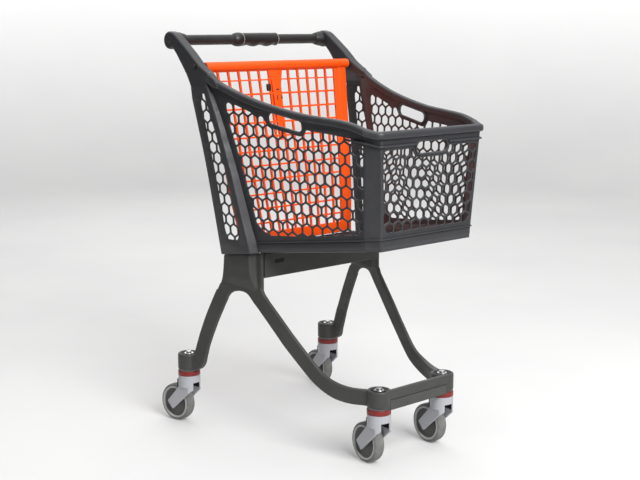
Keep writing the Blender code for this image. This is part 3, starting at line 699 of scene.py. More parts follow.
def front_path(z_front, z_side, set_back=0.0, drop=0.0, reach=0.005):
    """Round the front, from one facet's rear edge to the other's, with its corners rounded."""
    seam_y = facet_y(z_side)
    seam = (wall_x(seam_y, z_side), seam_y)
    corner = (front_half(z_front), front_y(z_front) + set_back)
    line = soften([seam, corner, (-corner[0], corner[1]), (-seam[0], seam_y)], reach, closed=False, steps=6)
    path = []
    for i, (point, out) in enumerate(zip(line, outward_along(line))):
        share = min(1, (seam_y - point[1]) / (seam_y - corner[1]) * 1.3)
        if i in (0, len(line) - 1):
            out = Vector((math.copysign(1.0, point[0]), -0.26, 0))
        path.append(((point[0], point[1], z_side + (z_front - z_side) * share), out, drop * share))
    return path


def facet():
    """The plain slanting corner between the front and the side, rounded where it meets the front."""
    sections = []
    for z in np.linspace(0.5405, 0.817, 5):
        line = corner_line(z)
        outs = outward_along(line)
        inner = [Vector((x, y, z)) - out * WALL_T for (x, y), out in zip(line, outs)]
        sections.append([Vector((x, y, z)) for x, y in line] + inner[::-1])
    return loft(sections)


def basket_front():
    half_top = front_half(0.815) - FACET_SEAM
    half_foot = front_half(0.5405) - FACET_SEAM
    outline = [(-half_foot, 0.5405), (half_foot, 0.5405), (half_top, 0.815), (-half_top, 0.815)]
    hole = slot_outline(FRONT_HOLE, (1, 0), FRONT_HOLE_HALF, FRONT_HOLE_R + 0.002)
    wall = flat_solid(outline, [hole, *honeycomb(front_field(), FRONT_CELLS)], WALL_T, 0.0006, place_front)
    lip_line = slot_outline(FRONT_HOLE, (1, 0), FRONT_HOLE_HALF, FRONT_HOLE_R + 0.0018)
    lip = slot_lip(lip_line, place_front, 0.006, 0.0045, 0.0046)
    side = facet()
    other = mirrored(side, "facet")
    rim = moulding(front_path(0.822, 0.8285, 0.0042, reach=0.009), RIM_PROFILE)
    parts = [wall, lip, side, other, rim]
    for path in split_round_hole(front_path(0.787, 0.7945)):
        parts.append(moulding(path, RIDGE_PROFILE))
    foot = front_path(0.5415, foot_z(FACET_Y), 0.0, 0.0025)
    return merge("basket_front", [*parts, moulding(foot, BAND_PROFILE), moulding(foot, BAND_LIP)])


def split_round_hole(path):
    """The ridge's path in two halves that stop at the hand hole's lip."""
    stop = FRONT_HOLE_HALF + FRONT_HOLE_R + 0.002
    middle = len(path) // 2
    (x, y, z), *_ = path[middle]
    ends = [((side * stop, y, z), Vector((0, -1, 0))) for side in (1, -1)]
    return [path[:middle] + [ends[0]], [ends[1]] + path[middle:]]


def basket_floor():
    """The sloping floor with low ribs across it."""
    lift = 0.006
    rear_half = strip_x(0.478) - 0.006
    half = [(rear_half, 0.137), (rear_half, 0.040), (wall_x(0.015, 0.48) - 0.006, 0.036)]
    half += [(wall_x(-0.314, 0.54) - 0.006, -0.314), (front_half(0.545) - 0.006, -0.348)]
    outline = half + [(-x, y) for x, y in half[::-1]]

    def place(x, y, w):
        return Vector((x, y, foot_z(y) + lift + w))

    parts = [flat_solid(outline, [], 0.004, 0.0008, place)]
    for y in np.arange(-0.30, 0.12, 0.052):
        reach = wall_x(min(y, 0.015), foot_z(y)) - 0.010
        rib = [(-reach, y - 0.0013), (reach, y - 0.0013), (reach, y + 0.0013), (-reach, y + 0.0013)]
        parts.append(flat_solid(rib, [], 0.005, 0.0006, lambda x, y, w: place(x, y, w + 0.003)))
    for x in np.arange(-0.15, 0.16, 0.05):
        rib = [(x - 0.0013, -0.342), (x + 0.0013, -0.342), (x + 0.0013, 0.130), (x - 0.0013, 0.130)]
        parts.append(flat_solid(rib, [], 0.005, 0.0006, lambda x, y, w: place(x, y, w + 0.003)))
    return merge("basket_floor", parts)


# Handle ---------------------------------------------------------------------------------------------------


def grip_sleeve():
    """The grip's thicker sleeve, its underside scalloped for fingers."""
    low, high = -0.040, 0.081
    bm = bmesh.new()
    rings = []
    segments = 72
    for x in np.linspace(low, high, 61):
        edge = min(x - low, high - x)
        radius = 0.0175 - 0.0016 * max(0, 1 - edge / 0.0025) ** 2
        ring = []
        for a in np.arange(segments) * 2 * math.pi / segments:
            under = max(0, -math.sin(a)) ** 1.5
            swell = 0.0020 * under * math.cos(math.pi * (x - 0.002) / 0.0235) * min(1, max(0, edge / 0.012))
            ring.append(bm.verts.new((x, (radius + swell) * math.cos(a), (radius + swell) * math.sin(a))))
        rings.append(ring)
    for x in (high, low):
        ring = [(x, 0.0139 * math.cos(a), 0.0139 * math.sin(a)) for a in np.arange(segments) * 2 * math.pi / segments]
        rings.append([bm.verts.new(point) for point in ring])
    for first, second in zip(rings, rings[1:] + rings[:1]):
        for i in range(segments):
            j = (i + 1) % segments
            bm.faces.new((first[i], first[j], second[j], second[i]))
    return moved(from_bmesh("sleeve", bm), (0, HANDLE_Y, HANDLE_Z))


def handle_pieces():
    seat = (0, HANDLE_Y, HANDLE_Z)
    ends = [(0, -0.2497), (0.0135, -0.2497), (0.0135, 0.2497), (0, 0.2497)]
    tube = merge("tube", [moved(lathe(ends, axis="X"), seat)])
    finish(tube, "grip_tube", GRIP, "root", "handle_black", "handle_tube")
    finish(merge("sleeve", [grip_sleeve()]), "grip_sleeve", SLEEVE, "root", "handle_black", "handle_sleeve")

    bell = [(0.0138, -0.067), (0.0150, -0.067), (0.0182, -0.058), (0.0190, -0.049), (0.0180, -0.0405), (0.0138, -0.0405)]
    collar = lathe(soften(bell, 0.003), closed=True, axis="X")
    finish(merge("collar", [moved(collar, seat)]), "grip_sleeve_cap", SLEEVE, "root", "handle_black", "sleeve_collar")
    # Two thin pale rings at the sleeve's ends: a painted highlight on its edges.
    lines = []
    for x in (-0.0398, 0.0806):
        line = [(0.0150, x), (0.0178, x), (0.0178, x + 0.0006), (0.0150, x + 0.0006)]
        lines.append(moved(lathe(line, closed=True, axis="X"), seat))
    finish(merge("lines", lines), "grip_sleeve_highlights", HIGHLIGHT_PALE, "root", "handle_black")

    for name, side in (("left", 1), ("right", -1)):
        flare = [(0.0138, 0.2240), (0.0152, 0.2240), (0.0166, 0.2285), (0.0195, 0.2400), (0.0204, 0.2440)]
        flare += [(0.0204, 0.2497), (0.0138, 0.2497)]
        cap = lathe([(r, side * x) for r, x in soften(flare, 0.002)], closed=True, axis="X")
        piece = merge("cap", [moved(cap, seat)])
        finish(piece, "grip_end_" + name, GRIP, "root", "handle_black", "handle_collar_" + name)
        # The bolt head sits deep in the knob's bore. Its dark steel is partly painted shade for the bore.
        head = [(0, 0.2745), (0.0030, 0.2745), (0.0034, 0.2765), (0.0060, 0.2765), (0.0068, 0.2755), (0.0068, 0.2705)]
        head += [(0.0040, 0.2703), (0.0040, 0.2310), (0, 0.2305)]
        bolt = lathe([(r, side * x) for r, x in head], 36, axis="X")
        piece = merge("bolt", [moved(bolt, seat)])
        finish(piece, "grip_bolt_" + name, DARK_STEEL, "root", "zinc_steel", "handle_bolt_" + name)


# Rear flap ------------------------------------------------------------------------------------------------

FLAP_T = 0.006
GRID_PITCH = 0.0337
GRID_ROW = 0.0375
GRID_BAR = 0.0047
GRID_UPRIGHT = 0.0058
GRID_SHIFT = -0.0062
GRID_TOP = 0.014
GRID_RIGHT = -0.2300  # where the openings end on the pusher's right
RAIL_TOP = 0.435


def place_flap(x, s, w):
    """x across at the hinge, s the distance down from the hinge, w through the flap towards the pusher."""
    half = float(np.interp(s, [reach for half, reach in FLAP_EDGE], [half for half, reach in FLAP_EDGE]))
    down = Vector((0, -math.sin(FLAP_LEAN), -math.cos(FLAP_LEAN)))
    through = Vector((0, math.cos(FLAP_LEAN), -math.sin(FLAP_LEAN)))
    return Vector((x * half / 0.237, HINGE_Y, HINGE_Z)) + down * s + through * w


def flap_grid():
    foot = 0.465
    levels = np.linspace(0.006, foot - 0.001, 12)
    outline = [(0.2365, float(s)) for s in levels] + [(-0.2365, float(s)) for s in levels[::-1]]
    holes = []
    rows = [(GRID_TOP, GRID_TOP + 0.0215)]
    starts = 0.0387 + GRID_ROW * np.arange(11)
    rows += [(float(low), min(float(low) + GRID_ROW - GRID_BAR, RAIL_TOP)) for low in starts]
    for low, high in rows:
        for i in range(-7, 6):
            left = max(GRID_PITCH * i + GRID_SHIFT + GRID_UPRIGHT / 2, GRID_RIGHT)
            right = GRID_PITCH * (i + 1) + GRID_SHIFT - GRID_UPRIGHT / 2
            holes.append(soften([(left, low), (right, low), (right, high), (left, high)], 0.0022, steps=2))
    return flat_solid(outline, holes, FLAP_T, 0.0007, place_flap)


def flap_spine():
    """The spine under the latch, which tapers to nothing down the grid."""
    left = [(-0.039, 0.008), (-0.038, 0.020), (-0.034, 0.050), (-0.0325, 0.090), (-0.0315, 0.140)]
    left += [(-0.0265, 0.198)]
    right = [(-0.0165, 0.198), (-0.0095, 0.140), (-0.0075, 0.090), (-0.003, 0.050), (0.004, 0.020), (0.0055, 0.008)]
    outline = [tuple(p) for line in (left, right) for p in smooth_line(line, 3)]
    return flat_solid(outline, [], 0.0080, 0.0012, place_flap)


def flap_frame():
    """The raised stiles at the sides and the rail along the foot."""
    parts = []
    for inner, outer in ((0.208, 0.2372), (GRID_RIGHT, -0.2372)):
        levels = np.linspace(0.004, 0.4645, 10)
        outline = [(outer, float(s)) for s in levels] + [(inner, float(s)) for s in levels[::-1]]
        parts.append(flat_solid(outline, [], 0.0098, 0.0022, place_flap, 3))
    rail = [(-0.235, RAIL_TOP), (0.235, RAIL_TOP), (0.235, 0.4645), (-0.235, 0.4645)]
    parts.append(flat_solid(rail, [], 0.0090, 0.0020, place_flap, 3))
    return parts


def flap_bar():
    profile = soften([(0, -0.2455), (0.013, -0.2455), (0.013, 0.2455), (0, 0.2455)], 0.0025, closed=False)
    return moved(lathe(profile, axis="X"), (0, HINGE_Y, HINGE_Z))


def flap_pieces():
    flap = merge("flap", [flap_grid(), flap_spine(), *flap_frame(), flap_bar()])
    finish(flap, "flap_panel", ORANGE, "flap", "flap_orange", "rear_flap")

    block = [(-0.0575, 0.049), (-0.0465, 0.049), (-0.0465, 0.068), (-0.0575, 0.068)]
    catch = flat_solid(soften(block, 0.003), [], 0.008, 0.0015, lambda x, s, w: place_flap(x, s, w - 0.008), 3)
    slots = [(-0.018, 0.064, 0.010, 0.0035), (-0.022, 0.086, 0.0025, 0.013), (-0.006, 0.085, 0.0025, 0.010)]
    parts = [catch]
    for x, s, width, height in slots:
        outline = [(x + a, s + b) for a, b in round_rect(width, height, 0.001, 2)]
        parts.append(flat_solid(outline, [], 0.0024, 0.0004, lambda x, s, w: place_flap(x, s, w - 0.0040)))
    finish(merge("catch", parts), "flap_latch", GRIP, "flap", "handle_black", "flap_catch")

    for name, side in (("left", 1), ("right", -1)):
        ring = [(0.0054, 0.2460), (0.0118, 0.2460), (0.0120, 0.2492), (0.0054, 0.2494)]
        bush = lathe([(r, side * x) for r, x in soften(ring, 0.0008)], closed=True, axis="X")
        piece = merge("bush", [moved(bush, (0, HINGE_Y, HINGE_Z))])
        finish(piece, "flap_bush_" + name, GRIP, "root", "handle_black", "flap_bushing_" + name)
        # The pivot pins are painted near black: painted shade in the hinge bores of the arms.
        rod = soften([(0, 0.2305), (0.005, 0.2305), (0.005, 0.2755), (0, 0.2755)], 0.001, closed=False)
        pin = lathe([(r, side * x) for r, x in rod], 36, axis="X")
        piece = merge("pin", [moved(pin, (0, HINGE_Y, HINGE_Z))])
        finish(piece, "flap_pivot_" + name, DARK, "root", "zinc_steel", "flap_pin_" + name)


# Chassis --------------------------------------------------------------------------------------------------


def post():
    """The post's top, a thin wall that steps in towards the front, up to the basket's foot."""
    sections = []
    for z, rear_y, step_x, step_y, inner_x, inner_y in smooth_line(POST_STEP, 3):
        front_x, front_edge = POST_FRONT
        outer = [(POST_REAR_X, rear_y), (step_x, step_y), (inner_x, inner_y), (front_x, front_edge)]
        inner = [(front_x, front_edge), (inner_x, inner_y + POST_T), (step_x, step_y + POST_T), (POST_REAR_X, rear_y)]
        line = soften(outer + [(x - POST_T, y) for x, y in inner], 0.0032)
        sections.append([Vector((x, y, min(z, foot_z(y) - 0.0004))) for x, y in line])
    return loft(sections)


def crotch():
    """The plate that joins the post to the legs, with the arch between them."""
    rear_edge = [(0.1490, 0.404), (0.1604, 0.3829), (0.1746, 0.3565), (0.1830, 0.3400)]
    arch = [(0.1580, 0.3220), (0.1490, 0.3225), (0.1396, 0.3424), (0.1257, 0.3690), (0.1170, 0.3785)]
    arch += [(0.1050, 0.3845), (0.0900, 0.3878), (0.0752, 0.3874), (0.0654, 0.3847), (0.0573, 0.3791)]
    arch += [(0.0492, 0.3696)]
    front_edge = [(0.0374, 0.3572), (0.0180, 0.3400), (-0.0030, 0.3738), (0.0102, 0.3879), (0.0185, 0.404)]
    outline = soften(rear_edge + arch + front_edge, 0.004)
    return flat_solid(outline, [], 0.010, 0.0032, lambda y, z, w: Vector((plate_x(y) + w, y, z)), 3)


def housing(corner):
    """A caster housing with a shallow recess in its top."""
    x, y, _ = CASTERS[corner]
    profile = [(0, 0.1503), (0.0286, 0.1503), (HOUSING_R, 0.1515), (HOUSING_R, 0.1900), (0.0275, 0.1930)]
    profile += [(0.0245, 0.1930), (0.0233, 0.1915), (0.0230, 0.1903), (0, 0.1903)]
    return moved(lathe(soften(profile, 0.0014, closed=False), 64), (x, y, 0))


def side_frames():
    rear_leg = bar([tuple(s) for s in smooth_line(REAR_LEG, 4)], 0.0034)
    front_leg = bar([tuple(s) for s in smooth_line(FRONT_LEG, 4)], 0.0034)
    solids = [post(), crotch(), rear_leg, front_leg, housing("rear_left"), housing("front_left")]
    left = merge("frame", [moulded(solids, 0.0015, 4)])
    right = mirrored(left, "frame")
    finish(left, "frame_left", CHASSIS, "root", "chassis_plastic", "side_frame_left")
    finish(right, "frame_right", CHASSIS, "root", "chassis_plastic", "side_frame_right")


def front_bar():
    """The bar between the front housings, with a cover set into its lower half."""
    front = CASTERS["front_left"][1] - HOUSING_R + 0.0005
    half = 0.1115
    upper = [(-half, 0.1700), (half, 0.1700), (half, 0.193), (-half, 0.193)]
    body = flat_solid(upper, [], 0.0138, 0.0026, lambda x, z, w: Vector((x, front + 0.0069 + w, z)), 4)
    lower = [(-half, 0.1436), (half, 0.1436), (half, 0.176), (-half, 0.176)]
    web = flat_solid(lower, [], 0.0052, 0.0012, lambda x, z, w: Vector((x, front + 0.0112 + w, z)), 3)
    parts = [body, web]
    for side in (-1, 1):
        block = [(side * a, z) for a, z in ((0.1001, 0.1436), (half, 0.1436), (half, 0.176), (0.1001, 0.176))]
        parts.append(flat_solid(block, [], 0.0125, 0.0014, lambda x, z, w: Vector((x, front + 0.0075 + w, z)), 3))
    piece = merge("bar", [moulded(parts, 0.0011, 3)])
    finish(piece, "front_bar", CHASSIS, "root", "chassis_plastic", "front_crossbar")
    cover = soften([(-0.0994, 0.1438), (0.0994, 0.1438), (0.0994, 0.1690), (-0.0994, 0.1690)], 0.0015)
    cover = flat_solid(cover, [], 0.0068, 0.0012, lambda x, z, w: Vector((x, front + 0.0050 + w, z)), 3)
    finish(merge("cover", [cover]), "front_bar_cover", CHASSIS, "root", "chassis_plastic", "crossbar_insert")


def under_rails():
    """The panel across the cart between the posts, its two slots as thin near-black plates painted as the shade inside
    them, and the beam behind it.
    """
    half = POST_FRONT[0] - POST_T - 0.0004
    outline = [(-half, 0.4290), (half, 0.4290), (half, 0.4912), (-half, 0.4912)]
    panel = flat_solid(outline, [], 0.010, 0.0020, lambda x, z, w: Vector((x, 0.0195 + w, z)), 3)
    finish(merge("panel", [panel]), "under_rail_front", CHASSIS, "root", "chassis_plastic", "front_cross_beam")
    section = round_rect(0.030, 0.026, 0.004, 4)
    half = POST_STEP[0][2] - POST_T - 0.0006
    rail = loft([[Vector((x, 0.070 + a, 0.465 + b)) for a, b in section] for x in (-half, half)])
    finish(merge("rail", [rail]), "under_rail_rear", CHASSIS, "root", "chassis_plastic", "rear_cross_beam")
    # Each slot is a thin near-black plate on the panel: painted shade for the opening.
    for name, side in (("left", 1), ("right", -1)):
        outline = [(side * 0.152 + a, 0.4685 + b) for a, b in round_rect(0.030, 0.0095, 0.002, 3)]
        slot = flat_solid(outline, [], 0.0012, 0.0003, lambda x, z, w: Vector((x, 0.0143 + w, z)))
        finish(merge("slot", [slot]), "frame_slot_shade_" + name, DARK, "root", "handle_black")


def chassis_pieces():
    side_frames()
    front_bar()
    under_rails()


# Casters --------------------------------------------------------------------------------------------------


def cube(low, high):
    bm = bmesh.new()
    bmesh.ops.create_cube(bm, size=1)
    for vert in bm.verts:
        vert.co = [low[i] + (vert.co[i] + 0.5) * (high[i] - low[i]) for i in range(3)]
    return from_bmesh("cube", bm)


def fork():
    """The caster's cast housing: a round cup that closes over the wheel and two slanting arms."""
    outline = [(-0.0295, 0.1332), (-0.0295, 0.0985), (-0.026, 0.0945), (0.0415, 0.0330), (0.0600, 0.0535)]
    outline += [(0.0185, 0.1000), (0.0295, 0.1010), (0.0295, 0.1332)]
    body = flat_solid(soften(outline, 0.002), [], 0.049, 0.0008, lambda y, z, w: Vector((w, y, z)))
    outside = lathe([(0, 0.01), (0.0295, 0.01), (0.0295, 0.2), (0, 0.2)], 96)
    outside = boolean(outside, "UNION", cube((-0.05, 0.0, 0.011), (0.05, 0.09, 0.1004)))
    body = boolean(body, "INTERSECT", outside)
    cup = lathe([(0, 0.1010), (0.0292, 0.1010), (0.0295, 0.1014), (0.0295, 0.1326), (0.0289, 0.1332), (0, 0.1332)], 96)
    body = boolean(body, "UNION", cup)
    body = boolean(body, "DIFFERENCE", cube((-0.0176, -0.0225, 0.0), (0.0176, 0.1, 0.1190)))
    body = boolean(body, "DIFFERENCE", cube((-0.0125, -0.04, 0.0), (0.0125, 0.0, 0.1140)))
    return merge("fork", [moulded([body], 0.00095, 4)])


def fork_shade_sheet():
    """A black sheet inside the cup, painted shade for its shadowed inside, open below and at the front and back."""
    outside = cube((-0.0175, -0.0222, 0.0960), (0.0175, 0.0284, 0.1188))
    return merge("cup_shade", [boolean(outside, "DIFFERENCE", cube((-0.0165, -0.03, 0.09), (0.0165, 0.04, 0.1178)))])


def tyre():
    half = 0.0146
    profile = [(0.0440, -half), (0.0462, -half), (0.0492, -0.0118), (0.0500, -0.006), (0.0500, 0.006), (0.0492, 0.0118)]
    profile += [(0.0462, half), (0.0440, half)]
    return merge("tyre", [lathe(soften(profile, 0.0022), 96, closed=True, axis="X")])


def wheel_rim():
    """The wheel's light outer ring, seen on both faces."""
    half = 0.0150
    profile = [(0.0385, -half + 0.002), (0.0395, -half), (0.0432, -half), (0.0437, -half + 0.001), (0.0437, half - 0.001)]
    profile += [(0.0432, half), (0.0395, half), (0.0385, half - 0.002)]
    return merge("rim", [lathe(soften(profile, 0.0006), 96, closed=True, axis="X")])


def wheel_disc():
    """The wheel's dished middle with its boss."""
    profile = [(0.0044, -0.0166), (0.0105, -0.0166), (0.0115, -0.0120), (0.0300, -0.0100), (0.0388, -0.0115)]
    profile += [(0.0388, 0.0115), (0.0300, 0.0100), (0.0115, 0.0120), (0.0105, 0.0166), (0.0044, 0.0166)]
    return merge("disc", [lathe(soften(profile, 0.0015), 72, closed=True, axis="X")])


def swivel_rings():
    """(seal ring, bolt head with its washer, the recess's floor painted near black as shade, stem) at the swivel's
    axis.
    """
    seal = [(0.012, 0.1336), (0.0290, 0.1336), (0.0297, 0.1346), (0.0297, 0.1450), (0.0290, 0.1461), (0.012, 0.1460)]
    seal = merge("seal", [lathe(soften(seal, 0.0008), 96, closed=True)])
    head = [(0, 0.1974), (0.0060, 0.1974), (0.0073, 0.1964), (0.0075, 0.1926), (0.0120, 0.1926), (0.0126, 0.1920)]
    head += [(0.0126, 0.1907), (0, 0.1907)]
    head = merge("cap", [lathe(soften(head, 0.0006, closed=False), 72)])
    # The recess's floor is a thin disc painted near black: painted shade in the housing's recess.
    floor = [(0, 0.1908), (0.0228, 0.1908), (0.0228, 0.1901), (0, 0.1901)]
    floor = merge("seat", [lathe(floor, 72)])
    # The stem's flange fills the gap above the red ring. Its dark steel is partly painted shade for that gap.
    stem = [(0, 0.184), (0.008, 0.184), (0.008, 0.1499), (0.0272, 0.1499), (0.0272, 0.1465), (0.008, 0.1465)]
    stem += [(0.008, 0.1196), (0, 0.1196)]
    stem = merge("stem", [lathe(stem, 48)])
    return seal, head, floor, stem


def axle():
    profile = soften([(0, -0.0214), (0.004, -0.0214), (0.004, 0.0214), (0, 0.0214)], 0.0006, closed=False)
    return merge("axle", [lathe(profile, 36, axis="X")])


def caster_pieces():
    seal, head, floor, stem = swivel_rings()
    masters = {
        "fork_shell": (fork(), FORK, "swivel", "fork_grey", ["fork"], False),
        # The fork's black sheet is painted shade for the inside of the cup.
        "fork_shade_sheet": (fork_shade_sheet(), DARK, "swivel", "fork_grey", [], False),
        "ring": (seal, RED, "swivel", "ring_red", ["seal_ring"], False),
        "axle_rod": (axle(), STEEL, "swivel", "zinc_steel", ["axle"], True),
        "top_cap": (head, STEEL, "root", "zinc_steel", ["stem_cap"], False),
        "cap_recess_shade": (floor, DARK, "root", "chassis_plastic", [], False),
        "king_pin": (stem, DARK_STEEL, "root", "zinc_steel", ["swivel_stem"], False),
        "tyre_band": (tyre(), RUBBER, "wheel", "tyre_grey", ["tyre"], True),
        "wheel_centre": (wheel_disc(), HUB, "wheel", "hub_grey", ["wheel_hub"], True),
        "wheel_ring": (wheel_rim(), HUB_LIGHT, "wheel", "hub_grey", ["wheel_hub"], True),
    }
    for corner, (x, y, turn) in CASTERS.items():
        angle = math.radians(turn)
        wheel = (x - math.sin(angle) * TRAIL, y + math.cos(angle) * TRAIL, WHEEL_R)
        for part, (master, look, body, slot, nodes, at_wheel) in masters.items():
            piece = add_object(part, master.data.copy())
            piece.location = wheel if at_wheel else (x, y, 0)
            piece.rotation_euler.z = angle
            body_name = body if body == "root" else corner + "_" + body
            finish(piece, corner + "_" + part, look, body_name, slot, *[corner + "_" + node for node in nodes])
    for master, *_ in masters.values():
        bpy.data.objects.remove(master)


# Materials ------------------------------------------------------------------------------------------------


class Nodes:
    """A short way to build a node tree."""

    def __init__(self, name):
        self.look = bpy.data.materials.new(name)
        self.look.use_nodes = True
        self.tree = self.look.node_tree
        self.shader = self.tree.nodes["Principled BSDF"]
        self.coords = self.add("ShaderNodeTexCoord")

    def add(self, kind, **settings):
        node = self.tree.nodes.new(kind)
        for key, value in settings.items():
            if key in node.inputs:
                node.inputs[key].default_value = value
            else:
                setattr(node, key, value)
        return node

    def link(self, source, target):
        self.tree.links.new(source, target)

    def noise(self, scale, detail=3.0, rough=0.5, stretch=None):
        texture = self.add("ShaderNodeTexNoise", Scale=scale, Detail=detail, Roughness=rough)
        source = self.coords.outputs["Object"]
        if stretch:
            mapping = self.add("ShaderNodeMapping", Scale=stretch)
            self.link(source, mapping.inputs["Vector"])
            source = mapping.outputs["Vector"]
        self.link(source, texture.inputs["Vector"])
        return texture.outputs["Fac"]

    def spread(self, value, low, high, start=0.3, end=0.7):
        """Maps a noise to the range low..high."""
        node = self.add("ShaderNodeMapRange")
        for key, number in (("From Min", start), ("From Max", end), ("To Min", low), ("To Max", high)):
            node.inputs[key].default_value = number
        self.link(value, node.inputs["Value"])
        return node.outputs["Result"]

    def mix(self, share, first, second):
        node = self.add("ShaderNodeMix", data_type="RGBA")
        for value, index in ((share, 0), (first, 6), (second, 7)):
            if hasattr(value, "links"):
                self.link(value, node.inputs[index])
            else:
                node.inputs[index].default_value = value
        return node.outputs[2]


def shade(colour, gain):
    return (*[min(1, channel * gain) for channel in colour], 1)


def plastic(name, colour, rough=0.42, grain=0.10, edge=1.35, cloud=0.10, scuffs=0.25, specular=0.5):
    """Moulded plastic: faint flow clouds, fine spark-eroded grain, lighter worn edges and duller scuffs."""
    made = Nodes(name)
    clouds = made.spread(made.noise(9, 4), 0, 1)
    base = made.mix(clouds, shade(colour, 1 - cloud), shade(colour, 1 + cloud))
    specks = made.spread(made.noise(420, 2), 0, 1, 0.35, 0.75)
    base = made.mix(made.spread(specks, 0.0, 0.25, 0, 1), base, shade(colour, 1.22))
    geometry = made.add("ShaderNodeNewGeometry")
    worn = made.spread(geometry.outputs["Pointiness"], 0, 1, 0.505, 0.56)
    patchy = made.add("ShaderNodeMath", operation="MULTIPLY")
    made.link(worn, patchy.inputs[0])
    made.link(made.spread(made.noise(28, 4), 0.35, 1, 0.3, 0.6), patchy.inputs[1])
    base = made.mix(patchy.outputs["Value"], base, shade(colour, edge))
    made.link(base, made.shader.inputs["Base Color"])
    dull = made.noise(16, 6, 0.62, (1.0, 1.0, 2.4))
    made.link(made.spread(dull, rough - 0.06, rough + 0.10 + scuffs * 0.2), made.shader.inputs["Roughness"])
    made.shader.inputs["Specular IOR Level"].default_value = specular
    fine = made.add("ShaderNodeBump", Strength=grain, Distance=0.0003)
    made.link(made.noise(1500, 2, 0.6), fine.inputs["Height"])
    wave = made.add("ShaderNodeBump", Strength=0.08, Distance=0.0012)
    made.link(made.noise(34, 2), wave.inputs["Height"])
    made.link(fine.outputs["Normal"], wave.inputs["Normal"])
    made.link(wave.outputs["Normal"], made.shader.inputs["Normal"])
    return made.look


def rubber(name, colour):
    """Grey rubber: dull, a little dusty, with fine circumferential wear."""
    made = Nodes(name)
    dust = made.spread(made.noise(60, 6, 0.6), 0, 1, 0.35, 0.7)
    base = made.mix(dust, shade(colour, 0.86), shade(colour, 1.22))
    made.link(base, made.shader.inputs["Base Color"])
    made.link(made.spread(made.noise(110, 4), 0.62, 0.86), made.shader.inputs["Roughness"])
    made.shader.inputs["Specular IOR Level"].default_value = 0.35
    bump = made.add("ShaderNodeBump", Strength=0.25, Distance=0.0004)
    made.link(made.noise(500, 4, 0.6, (6.0, 1.0, 1.0)), bump.inputs["Height"])
    made.link(bump.outputs["Normal"], made.shader.inputs["Normal"])
    return made.look


def metal(name, colour, rough, grime):
    """Zinc-plated steel: cloudy plating, fine turning lines and a little grime."""
    made = Nodes(name)
    clouds = made.spread(made.noise(90, 5), 0, 1)
    base = made.mix(clouds, shade(colour, 1 - grime), shade(colour, 1.0))
    made.link(base, made.shader.inputs["Base Color"])
    made.shader.inputs["Metallic"].default_value = 1.0
    made.link(made.spread(made.noise(240, 4), rough - 0.06, rough + 0.14), made.shader.inputs["Roughness"])
    bump = made.add("ShaderNodeBump", Strength=0.15, Distance=0.0002)
    made.link(made.noise(900, 2, 0.5, (1.0, 1.0, 8.0)), bump.inputs["Height"])
    made.link(bump.outputs["Normal"], made.shader.inputs["Normal"])
    return made.look


CHARCOAL = plastic("basket_plastic", (0.032, 0.0325, 0.036), 0.44)
CHASSIS = plastic("chassis_plastic", (0.042, 0.042, 0.039), 0.50, 0.16, 1.3, 0.14)
GRIP = plastic("handle_black", (0.012, 0.012, 0.0118), 0.40, 0.08, 1.5)
SLEEVE = plastic("sleeve_black", (0.011, 0.011, 0.0107), 0.36, 0.14, 1.5)
# Near black painted shade: the slots, the inside of the fork's cup, the housing recesses and the hinge bores.
DARK = plastic("shade_black", (0.006, 0.006, 0.006), 0.7, 0.1, 1.0)
# Pale grey for the sleeve's painted highlight rings.
HIGHLIGHT_PALE = plastic("highlight_pale", (0.55, 0.55, 0.54), 0.35, 0.05, 1.05)
ORANGE = plastic("flap_orange", (0.88, 0.080, 0.003), 0.40, 0.06, 1.12, 0.05, 0.15, 0.3)
FORK = plastic("fork_grey", (0.40, 0.405, 0.435), 0.42, 0.10, 1.15, 0.05)
RED = plastic("ring_red", (0.19, 0.0125, 0.010), 0.40, 0.06, 1.15, 0.06)
HUB = plastic("hub_dark", (0.062, 0.062, 0.060), 0.5, 0.12, 1.4)
HUB_LIGHT = plastic("hub_light", (0.40, 0.40, 0.395), 0.42, 0.08, 1.1, 0.06)
RUBBER = rubber("tyre_grey", (0.165, 0.164, 0.157))
STEEL = metal("zinc_steel", (0.56, 0.56, 0.57), 0.30, 0.18)
# Steel darker than the zinc, partly painted shade for the knob bores and the gap above the red ring.
DARK_STEEL = metal("shade_dark_steel", (0.22, 0.22, 0.22), 0.38, 0.3)


# Stage ----------------------------------------------------------------------------------------------------


def stage_material():
    made = Nodes("studio_floor")
    base = made.mix(made.spread(made.noise(1.3, 3), 0, 1), (0.56, 0.56, 0.56, 1), (0.60, 0.598, 0.595, 1))
    place = made.add("ShaderNodeSeparateXYZ")
    made.link(made.add("ShaderNodeTexCoord").outputs["Object"], place.inputs[0])
    nearer = made.add("ShaderNodeMath", operation="MINIMUM")
    made.link(place.outputs["X"], nearer.inputs[0])
    made.link(place.outputs["Y"], nearer.inputs[1])
    seen = made.spread(nearer.outputs["Value"], 0, 1, -2.4, -1.5)
    made.link(made.mix(seen, (0.05, 0.05, 0.05, 1), base), made.shader.inputs["Base Color"])
    # Painted light: the stage glows, more strongly higher up, to set the backdrop's brightness. Behind the camera it is
    # dark and does not glow.
    glow = made.add("ShaderNodeMath", operation="MULTIPLY")
    made.link(seen, glow.inputs[0])
    made.link(made.spread(place.outputs["Z"], 0.12, 0.72, 0.0, 1.6), glow.inputs[1])
    made.link(glow.outputs["Value"], made.shader.inputs["Emission Strength"])
    made.shader.inputs["Emission Color"].default_value = (1, 1, 1, 1)
    made.shader.inputs["Roughness"].default_value = 0.9
    made.shader.inputs["Specular IOR Level"].default_value = 0.1
    return made.look


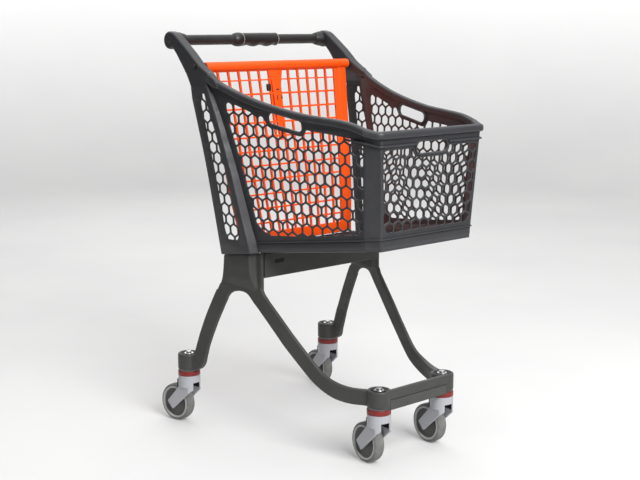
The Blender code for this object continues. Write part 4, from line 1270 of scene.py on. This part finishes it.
def stage():
    """A pale floor that curves up into a round backdrop."""
    profile = [(0, 0), (1.0, 0), (2.5, 0), (4.6, 0)]
    profile += [(4.6 + 2.2 * math.sin(a), 2.2 - 2.2 * math.cos(a)) for a in np.radians(np.arange(6, 91, 6))]
    profile += [(6.8, 4.5), (6.8, 7.0)]
    floor = lathe(profile, 96)
    floor.name = "studio_floor"
    floor.data.shade_smooth()
    floor.data.materials.append(stage_material())


def area_light(name, location, target, size, power, colour=(1, 1, 1)):
    lamp = bpy.data.lights.new(name, "AREA")
    lamp.shape = "DISK"
    lamp.size = size
    lamp.energy = power
    lamp.color = colour
    made = bpy.data.objects.new(name, lamp)
    bpy.context.scene.collection.objects.link(made)
    made.location = location
    made.rotation_euler = (Vector(target) - Vector(location)).to_track_quat("-Z", "Y").to_euler()


def lights():
    area_light("key", (-0.6, -3.4, 3.0), (0, 0, 0.5), 2.6, 240)
    area_light("top", (0.2, 0.3, 3.9), (0, 0, 0.4), 3.4, 48)
    area_light("side", (-3.6, -0.4, 1.8), (0, 0, 0.6), 2.4, 6)
    area_light("back", (1.8, 3.2, 2.6), (0, 0, 0.6), 2.6, 26)
    world = bpy.data.worlds.new("studio")
    world.use_nodes = True
    world.node_tree.nodes["Background"].inputs["Color"].default_value = (1, 1, 1, 1)
    world.node_tree.nodes["Background"].inputs["Strength"].default_value = 0.6
    bpy.context.scene.world = world


def camera():
    data = bpy.data.cameras.new("camera")
    data.sensor_width = 36
    data.lens = 69.06
    made = bpy.data.objects.new("camera", data)
    bpy.context.scene.collection.objects.link(made)
    made.location = (-2.129, -2.333 + CENTRING, 1.0657)
    target = Vector((0, 0.0294 + CENTRING, 0.5015))
    made.rotation_euler = (target - made.location).to_track_quat("-Z", "Y").to_euler()
    bpy.context.scene.camera = made


# Build ----------------------------------------------------------------------------------------------------


def main():
    camera()
    lights()
    stage()
    side = basket_side()
    other = mirrored(side, "basket_side")
    finish(side, "basket_side_left", CHARCOAL, "root", "basket_plastic", "side_panel_left")
    finish(other, "basket_side_right", CHARCOAL, "root", "basket_plastic", "side_panel_right")
    finish(basket_front(), "basket_front", CHARCOAL, "root", "basket_plastic", "front_panel")
    finish(basket_floor(), "basket_floor", CHARCOAL, "root", "basket_plastic", "floor_tray")
    handle_pieces()
    flap_pieces()
    chassis_pieces()
    caster_pieces()
    bpy.context.scene.view_settings.view_transform = "Standard"


main()
